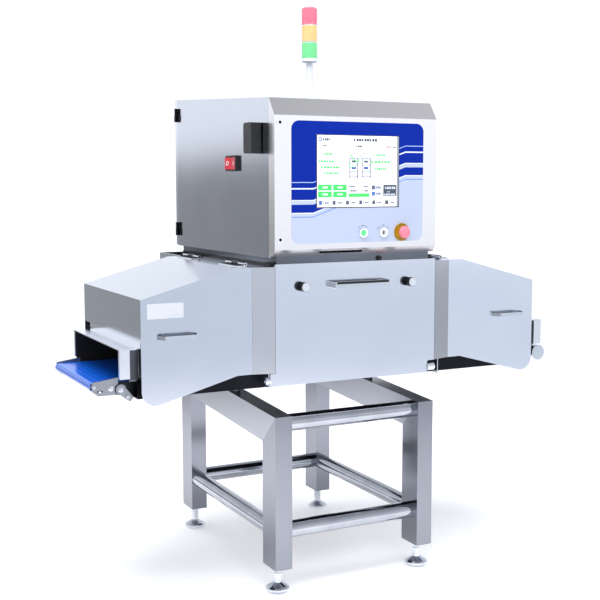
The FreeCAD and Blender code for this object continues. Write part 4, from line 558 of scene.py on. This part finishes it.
on_page(4, 972, 4, 992, "page", 0)
on_page(974, 996, 4, 992, "edge", 0)
on_page(4, 972, 108, 111, "rule")
on_page(4, 972, 188, 191, "rule")
on_page(172, 174, 111, 188, "rule")
on_page(4, 972, 868, 871, "rule")
on_page(18, 60, 34, 84, "blue")
on_page(30, 48, 48, 70, "page", 2)
bars(70, 160, 62, 34, "slate", 4)
bars(438, 728, 62, 38, "slate", 9)
bars(52, 128, 146, 18, "mark", 4)
bars(468, 552, 148, 26, "slate", 4)
on_page(842, 888, 126, 178, "rule")
on_page(850, 880, 136, 168, "red", 2)
on_page(858, 872, 145, 159, "page", 3)
bars(900, 965, 158, 18, "mark", 3)
for u0, u1, v in ((76, 182, 262), (18, 206, 364), (48, 262, 444), (84, 262, 526)):
    bars(u0, u1, v, 30, "green", 6)
for u0, u1, v in ((690, 830, 270), (654, 892, 366), (700, 842, 462)):
    bars(u0, u1, v, 30, "green", 6)
for points in ([(276, 268), (392, 268), (474, 366), (474, 384)],
               [(270, 364), (360, 364), (404, 410)],
               [(262, 444), (440, 444)],
               [(672, 268), (534, 268), (494, 366)],
               [(650, 366), (596, 366)],
               [(690, 446), (640, 446)]):
    run(points)
for u, v in ((276, 268), (270, 364), (262, 444), (474, 384), (440, 438), (676, 268),
             (640, 446), (542, 366)):
    on_page(u - 6, u + 6, v - 7, v + 7, "green", 3)
for u0, u1 in ((394, 490), (542, 642)):
    for v in (312, 402, 498, 560):
        on_page(u0, u1, v, v + 11, "blue")
    for u in (u0, u1):
        on_page(u - 7, u + 6, 312, 590, "mark")
    on_page(u0 + 22, u1 - 26, 344, 376, "mark", 2)
    on_page(u0 + 18, u1 - 22, 432, 470, "blue", 2)
    on_page(u0 - 4, u0 + 6, 584, 598, "slate", 2)
    on_page(u1 - 6, u1 + 4, 584, 598, "slate", 2)
on_page(436, 448, 236, 272, "slate")
on_page(562, 572, 236, 272, "slate")
for u0, v0 in ((14, 680), (192, 680), (14, 776), (192, 776)):
    on_page(u0, u0 + 164, v0, v0 + 84, "green")
    bars(u0 + 54, u0 + 116, v0 + 42, 22, "page", 3)
for u0, u1, v in ((376, 468, 708), (552, 622, 708), (376, 488, 770), (556, 624, 770)):
    bars(u0, u1, v, 24, "mark", 4)
on_page(376, 634, 806, 856, "green")
on_page(656, 780, 690, 758, "rule")
on_page(656, 780, 778, 846, "rule")
on_page(664, 700, 696, 750, "mark", 2)
on_page(664, 700, 784, 838, "blue", 2)
bars(714, 772, 724, 18, "mark", 3)
bars(714, 772, 812, 18, "mark", 3)
on_page(804, 968, 686, 846, "slate")
bars(826, 958, 730, 34, "rule", 6)
bars(852, 890, 786, 14, "rule", 2)
bars(812, 962, 824, 26, "rule", 7)
for i, ink in enumerate(("blue", "mark", "mark", "mark", "mark", "slate")):
    u0 = 12 + i * 161
    on_page(u0, u0 + 148, 892, 976, "rule")
    on_page(u0 + 3, u0 + 145, 896, 972, "page", 2)
    on_page(u0 + 12, u0 + 50, 904, 962, ink, 3)
    bars(u0 + 62, u0 + 136, 936, 26, "mark", 4)
mesh_object("screen_picture", page, list(INK.values()), "console_door")

# Bare plate on the inlet hood
PLATE_AREA, PLATE_Y = (-714, -598, 929, 975), 18.5
PLATE_CORNER, PLATE_THICK, PLATE_EDGE = 4, 0.0007, 0.25
plate = bmesh.new()
slab(plate, [P(x, PLATE_Y, z) for x, z in round_corners(*PLATE_AREA, PLATE_CORNER, 6)],
     Vector((0, -PLATE_THICK, 0)))
soften(mesh_object("hood_plate", plate, [flat("plate_white", linear(206, 208, 216))],
                   "inlet_hood"), PLATE_EDGE)

# A near-black that stands for shade: painted shade in the tunnels, the key slot, along the
# handle and in the nose slots
SHADE_BLACK = flat("painted_shade_black", linear(10, 10, 12), 0.0, 0.6)


def block(mesh_in, x0, x1, y0, y1, z0, z1, material=0):
    """A box between millimetres of the datum."""
    slab(mesh_in, [P(x0, y0, z0), P(x1, y0, z0), P(x1, y1, z0), P(x0, y1, z0)],
         Vector((0, 0, (z1 - z0) / 1000)), material)


# Black sheets of painted shade inside the tunnels, where their walls and roof lie in
# shadow, in two lengths clear of the curtain rods
SHADE_SPANS = ((382, 546), (574, 792))
FRONT_SHADE_SHEET, REAR_SHADE_SHEET = (51.05, 51.7), (533.3, 533.95)
FRONT_FOOT, REAR_FOOT, SHADE_SHEET_TOP = 750, {-1: 714, 1: 750}, 836
ROOF_SHADE_SHEET = (53, 532, 836.2, 836.9)

# The sheet that closes each tunnel's top against the hood's end wall, the strip in
# front of it and the cheeks of the end frame, as near and far x, y0, y1, z0, z1
# and the number of the material; the strip and the cheeks are dark grey painted shade
# where the tunnel's wall lies back in shadow
UPSTAND = ((728.4, 729.6, 40, 578, 840.05, 866, 0), (728.4, 729.6, 24, 39.9, 752, 866, 1),
           (736, 762.6, 47.2, 47.95, 743, 839, 1), (736, 762.6, 537.05, 537.8, 743, 839, 1))
for side, word in ((-1, "inlet"), (1, "outlet")):
    tunnel_shade = bmesh.new()
    for span in SHADE_SPANS:
        x0, x1 = sorted(side * x for x in span)
        block(tunnel_shade, x0, x1, *FRONT_SHADE_SHEET, FRONT_FOOT, SHADE_SHEET_TOP)
        block(tunnel_shade, x0, x1, *REAR_SHADE_SHEET, REAR_FOOT[side], SHADE_SHEET_TOP)
        block(tunnel_shade, x0, x1, *ROOF_SHADE_SHEET)
    mesh_object(word + "_tunnel_painted_shade", tunnel_shade, [SHADE_BLACK], "frame")
    closing = bmesh.new()
    for near, far, *rest in UPSTAND:
        x0, x1 = sorted((side * near, side * far))
        block(closing, x0, x1, *rest)
    mesh_object(word + "_tunnel_upstand", closing, [TUNNEL_STEEL, WALL_SHADED_STEEL], "frame")

# Bezels of the controls, white and faintly glowing as a painted highlight of bright chrome,
# the stop button's ribbed plate with its ribs in dark brown painted shade, and plain tick
# marks
START_X, KEY_X, STOP_X, CONTROL_Z = 18, 94, 165, 1172
FOIL_FACE, RING_FACE, COLLAR_FACE = -0.82, -4.32, -3.82
KEY_SLOT = (91.6, 95.6, -5.5, -5.32, 1167, 1177)
RIBS, RIB_SIZE = 28, (0.0225, 0.0285, 0.0007)
TICK_STEP, TICK_SIZE = 5, (0.0232, 0.0252, 0.0001)
SPOKE_HALF = 0.0008


def spoke(mesh_in, middle, angle, inner, outer, thick):
    """A short bar that points away from a middle; its two radii and its thickness are
    in metres."""
    out = Vector((math.cos(angle), 0, math.sin(angle)))
    across = Vector((-math.sin(angle), 0, math.cos(angle))) * SPOKE_HALF
    slab(mesh_in, [middle + out * inner - across, middle + out * outer - across,
                   middle + out * outer + across, middle + out * inner + across],
         Vector((0, -thick, 0)))


bezels = bmesh.new()
for x, inner in ((START_X, 10.1), (KEY_X, 8.7)):
    revolve(bezels, [(15.0, 0.0), (15.0, 2.2), (13.6, 3.4), (12.2, 3.4), (inner, 1.6),
                     (inner, 0.0), (15.0, 0.0)], P(x, RING_FACE, CONTROL_Z), (0, -1, 0), 48)
# painted highlight: the bezels are white with a faint glow where the rings are bright
# chrome
mesh_object("control_bezels", bezels,
            [flat("bezel_painted_highlight", linear(240, 241, 245), 0.12, 0.18)],
            "console_door")
# painted shade: the collar's ribs are drawn as dark brown lines, a shaded copy of its
# yellow
ribs = bmesh.new()
for i in range(RIBS):
    spoke(ribs, P(STOP_X, COLLAR_FACE, CONTROL_Z), 2 * math.pi * i / RIBS, *RIB_SIZE)
mesh_object("stop_ribs", ribs, [flat("rib_painted_shade", linear(92, 66, 6))], "console_door")
ticks = bmesh.new()
for x, spans in ((START_X, ((52, 66), (80, 112), (126, 140))),
                 (KEY_X, ((34, 58), (78, 100), (124, 150)))):
    for start, end in spans:
        for degrees in range(start, end, TICK_STEP):
            spoke(ticks, P(x, FOIL_FACE, CONTROL_Z), math.radians(degrees), *TICK_SIZE)
mesh_object("control_ticks", ticks, [flat("print_grey", linear(48, 52, 66))],
            "console_door")
# Painted shade: a black block stands for the shaded keyway of the key switch
slot = bmesh.new()
block(slot, *KEY_SLOT)
mesh_object("key_slot_painted_shade", slot, [SHADE_BLACK], "key_cylinder")

# Black strip of painted shade along the door handle's upper edge
HANDLE_SHADE = (-97, 97, -35.12, -35.02, 1011.5, 1019.2)
handle_shade_strip = bmesh.new()
block(handle_shade_strip, *HANDLE_SHADE)
mesh_object("handle_painted_shade", handle_shade_strip, [SHADE_BLACK], "chamber_door")

# Marks for on and off on the two halves of the main switch, laid on its face
BAR_MARK = [(297, 1392), (300, 1392), (300, 1407), (297, 1407)]
RING_Y, RING_Z, RING_OUTER, RING_INNER, RING_STEPS = 337, 1399.5, 7.2, 4.8, 20
MARK_LIFT, MARK_THICK = 0.00012, 0.0005
rocker = NODES["main_switch_rocker"]
corners = [rocker.matrix_world @ v.co for v in rocker.data.vertices]
tree = BVHTree.FromPolygons(corners, [tuple(f.vertices) for f in rocker.data.polygons])


def stroke(mesh_in, points):
    """A thin mark whose (y, z) points are laid on the rocker's outer face."""
    hits = [tree.ray_cast(P(-400, y, z), Vector((1, 0, 0)))[0] for y, z in points]
    slab(mesh_in, [hit - Vector((MARK_LIFT, 0, 0)) for hit in hits],
         Vector((-MARK_THICK, 0, 0)))


strokes = bmesh.new()
stroke(strokes, BAR_MARK)
for i in range(RING_STEPS):
    a, b = (2 * math.pi * k / RING_STEPS for k in (i, i + 1))
    stroke(strokes, [(RING_Y + radius * math.cos(t), RING_Z + radius * math.sin(t))
                     for t, radius in ((a, RING_OUTER), (b, RING_OUTER),
                                       (b, RING_INNER), (a, RING_INNER))])
mesh_object("switch_marks", strokes, [flat("white_ink", linear(238, 238, 240))],
            "main_switch_rocker")

# Slots of the nose plates with a bolt in each and the gap round the link's eye, both as
# black painted shade, and bright washers under the bolt heads
PIVOT, CLAMP_BOLT, SLOT_BOLT = (-781, 714), (-811, 719), (-845, 711.8)
SLOT_X, SLOT_Z = (-853, -836), (709.5, 714)
GAP_INNER, GAP_OUTER, GAP_THICK, GAP_STEP = 0.0162, 0.0180, 0.00045, 7
SLOT_LIFT, SLOT_FRONT, WASHER_LIFT, BOLT_LIFT = 0.05, 0.5, 0.02, 0.6
WASHER = [(5.1, 0.0), (8.6, 0.0), (8.6, 0.7), (7.9, 1.1), (5.1, 1.1), (5.1, 0.0)]
BOLT_HEAD = [(4.4, 0.0), (4.4, 1.2), (3.2, 2.2), (0.6, 2.6)]
for face, plate_y, link_y in ((-1, 80, 74), (1, 506, 512)):
    word = "front" if face < 0 else "rear"
    marks = bmesh.new()
    y0, y1 = sorted((plate_y + face * SLOT_LIFT, plate_y + face * SLOT_FRONT))
    block(marks, *SLOT_X, y0, y1, *SLOT_Z)
    eye = P(PIVOT[0], plate_y + face * SLOT_LIFT, PIVOT[1])
    for start in range(96, 250, GAP_STEP):
        a, b = math.radians(start), math.radians(start + GAP_STEP)
        rim = [eye + Vector((math.cos(t), 0, math.sin(t))) * radius
               for t, radius in ((a, GAP_INNER), (b, GAP_INNER), (b, GAP_OUTER),
                                 (a, GAP_OUTER))]
        slab(marks, rim, Vector((0, face * GAP_THICK, 0)))
    mesh_object("nose_slot_shade_" + word, marks, [SHADE_BLACK], "frame")
    bright = bmesh.new()
    for (x, z), y in ((CLAMP_BOLT, plate_y), (PIVOT, link_y)):
        revolve(bright, WASHER, P(x, y + face * WASHER_LIFT, z), (0, face, 0), 32)
    revolve(bright, BOLT_HEAD, P(SLOT_BOLT[0], plate_y + face * BOLT_LIFT, SLOT_BOLT[1]),
            (0, face, 0), 24)
    mesh_object("nose_washers_" + word, bright, [MATERIALS["polished_steel"]], "frame")

# Camera, from the photograph's parallel edges
camera_data = bpy.data.cameras.new("camera")
camera_data.sensor_width = 36.0
camera_data.lens = 63.517
camera_data.clip_start, camera_data.clip_end = 0.1, 100.0
camera = bpy.data.objects.new("camera", camera_data)
bpy.context.scene.collection.objects.link(camera)
right = Vector((0.89089, -0.45422, -0.00135))
up = Vector((0.05059, 0.09627, 0.99407))
back = -Vector((0.45139, 0.88568, -0.10875))
turn = Matrix((right, up, back)).transposed().to_4x4()
camera.matrix_world = Matrix.Translation(P(-1728.4, -2975.3, 1329.7)) @ turn
bpy.context.scene.camera = camera


# Studio: a pale floor that fades into a soft white room, whose walls are greyer
# to the left and in front

def floor_material():
    """Pale floor that fades out towards its rim."""
    n = Nodes("pale_floor").set(rough=0.6, gloss=0.2, glow=0.3,
                               glow_colour=(1.0, 1.0, 1.0, 1.0))
    tone = n.even(2)
    n.link(n.ramp(tone, [(0.3, linear(250, 250, 252)), (0.7, linear(252, 252, 254))]),
           n.shader.inputs["Base Color"])
    far = n.new("ShaderNodeVectorMath", operation="LENGTH")
    n.link(n.place, far.inputs[0])
    fade = n.span(far.outputs["Value"], 2.2, 4.6, 0.0, 1.0)
    clear = n.new("ShaderNodeBsdfTransparent")
    mixed = n.new("ShaderNodeMixShader")
    n.link(fade, mixed.inputs["Fac"])
    n.link(n.shader.outputs["BSDF"], mixed.inputs[1])
    n.link(clear.outputs["BSDF"], mixed.inputs[2])
    output = n.tree.nodes["Material Output"]
    n.link(mixed.outputs["Shader"], output.inputs["Surface"])
    return n.material


floor_mesh = bmesh.new()
bmesh.ops.create_circle(floor_mesh, cap_ends=True, segments=96, radius=4.7)
mesh = bpy.data.meshes.new("floor")
floor_mesh.to_mesh(mesh)
floor_mesh.free()
floor = bpy.data.objects.new("floor", mesh)
mesh.materials.append(floor_material())
bpy.context.scene.collection.objects.link(floor)

world = bpy.data.worlds.new("studio")
world.use_nodes = True
bpy.context.scene.world = world


class Room(Nodes):
    """The same short calls on the world's tree."""

    def __init__(self, item):
        self.tree = item.node_tree
        coords = self.tree.nodes.new("ShaderNodeTexCoord")
        self.place = coords.outputs["Generated"]
        self.shader = self.tree.nodes["Background"]


def grey(value, tint=0.0):
    """A grey of that brightness, a little towards blue."""
    return (value * (1 - tint), value * (1 - tint * 0.6), value, 1.0)


room = Room(world)
way = room.axes(room.place)
around = room.math("ARCTAN2", way["X"], room.math("MULTIPLY", way["Y"], -1.0))
around = room.span(around, -math.pi, math.pi, 0.0, 1.0)


def at(degrees):
    """Place on the ramp round the room of a direction, from -180 to 180 degrees."""
    return (degrees + 180) / 360


low = room.ramp(around, [(at(-180), grey(0.50, 0.08)), (at(-153), grey(0.30, 0.08)),
                         (at(-100), grey(0.34, 0.08)), (at(-40), grey(0.46, 0.10)),
                         (at(-6), grey(0.66, 0.12)), (at(20), grey(0.88, 0.19)),
                         (at(42), grey(0.88, 0.19)), (at(60), grey(0.46, 0.12)),
                         (at(78), grey(0.46, 0.12)), (at(105), grey(0.8, 0.05)),
                         (at(135), grey(1.16, 0.08)), (at(170), grey(1.16, 0.08)),
                         (at(180), grey(0.50, 0.08))])
high = room.ramp(room.math("ABSOLUTE", way["Z"]),
                 [(0.0, grey(1.17, 0.11)), (0.2, grey(1.17, 0.11)),
                  (0.34, grey(0.92, 0.10)), (0.62, grey(0.72, 0.08)),
                  (0.85, grey(0.54, 0.1)), (1.0, grey(0.25, 0.1))])
edge = room.ramp(around, [(at(-180), grey(0.5)), (at(-153), grey(0.93)),
                          (at(-60), grey(0.6)), (at(5), grey(0.28)),
                          (at(45), grey(0.28)), (at(135), grey(0.3)),
                          (at(180), grey(0.5))])
height = room.math("SUBTRACT", way["Z"], room.span(edge, 0.0, 1.0, -0.09, 0.045))
blend = room.new("ShaderNodeMapRange", interpolation_type="SMOOTHSTEP")
blend.inputs["From Min"].default_value = -0.02
blend.inputs["From Max"].default_value = 0.02
room.link(height, blend.inputs["Value"])
room.link(room.mix(blend.outputs["Result"], low, high), room.shader.inputs["Color"])
room.shader.inputs["Strength"].default_value = 1.0


def lamp(name, place, aim, size, power):
    """A soft panel of light that no surface mirrors."""
    data = bpy.data.lights.new(name, "AREA")
    data.shape = "RECTANGLE"
    data.size, data.size_y = size
    data.energy = power
    item = bpy.data.objects.new(name, data)
    item.location = place
    item.rotation_euler = (Vector(aim) - Vector(place)).to_track_quat("-Z", "Y").to_euler()
    item.visible_glossy = False
    bpy.context.scene.collection.objects.link(item)


lamp("top_light", (-0.6, -0.8, 4.2), (0, 0, 0), (3.4, 3.4), 250)
lamp("front_light", (0.6, -4.2, 2.4), (0, 0, 0.9), (2.4, 1.6), 8)

bpy.context.scene.view_settings.view_transform = "Standard"
bpy.context.scene.view_settings.look = "None"
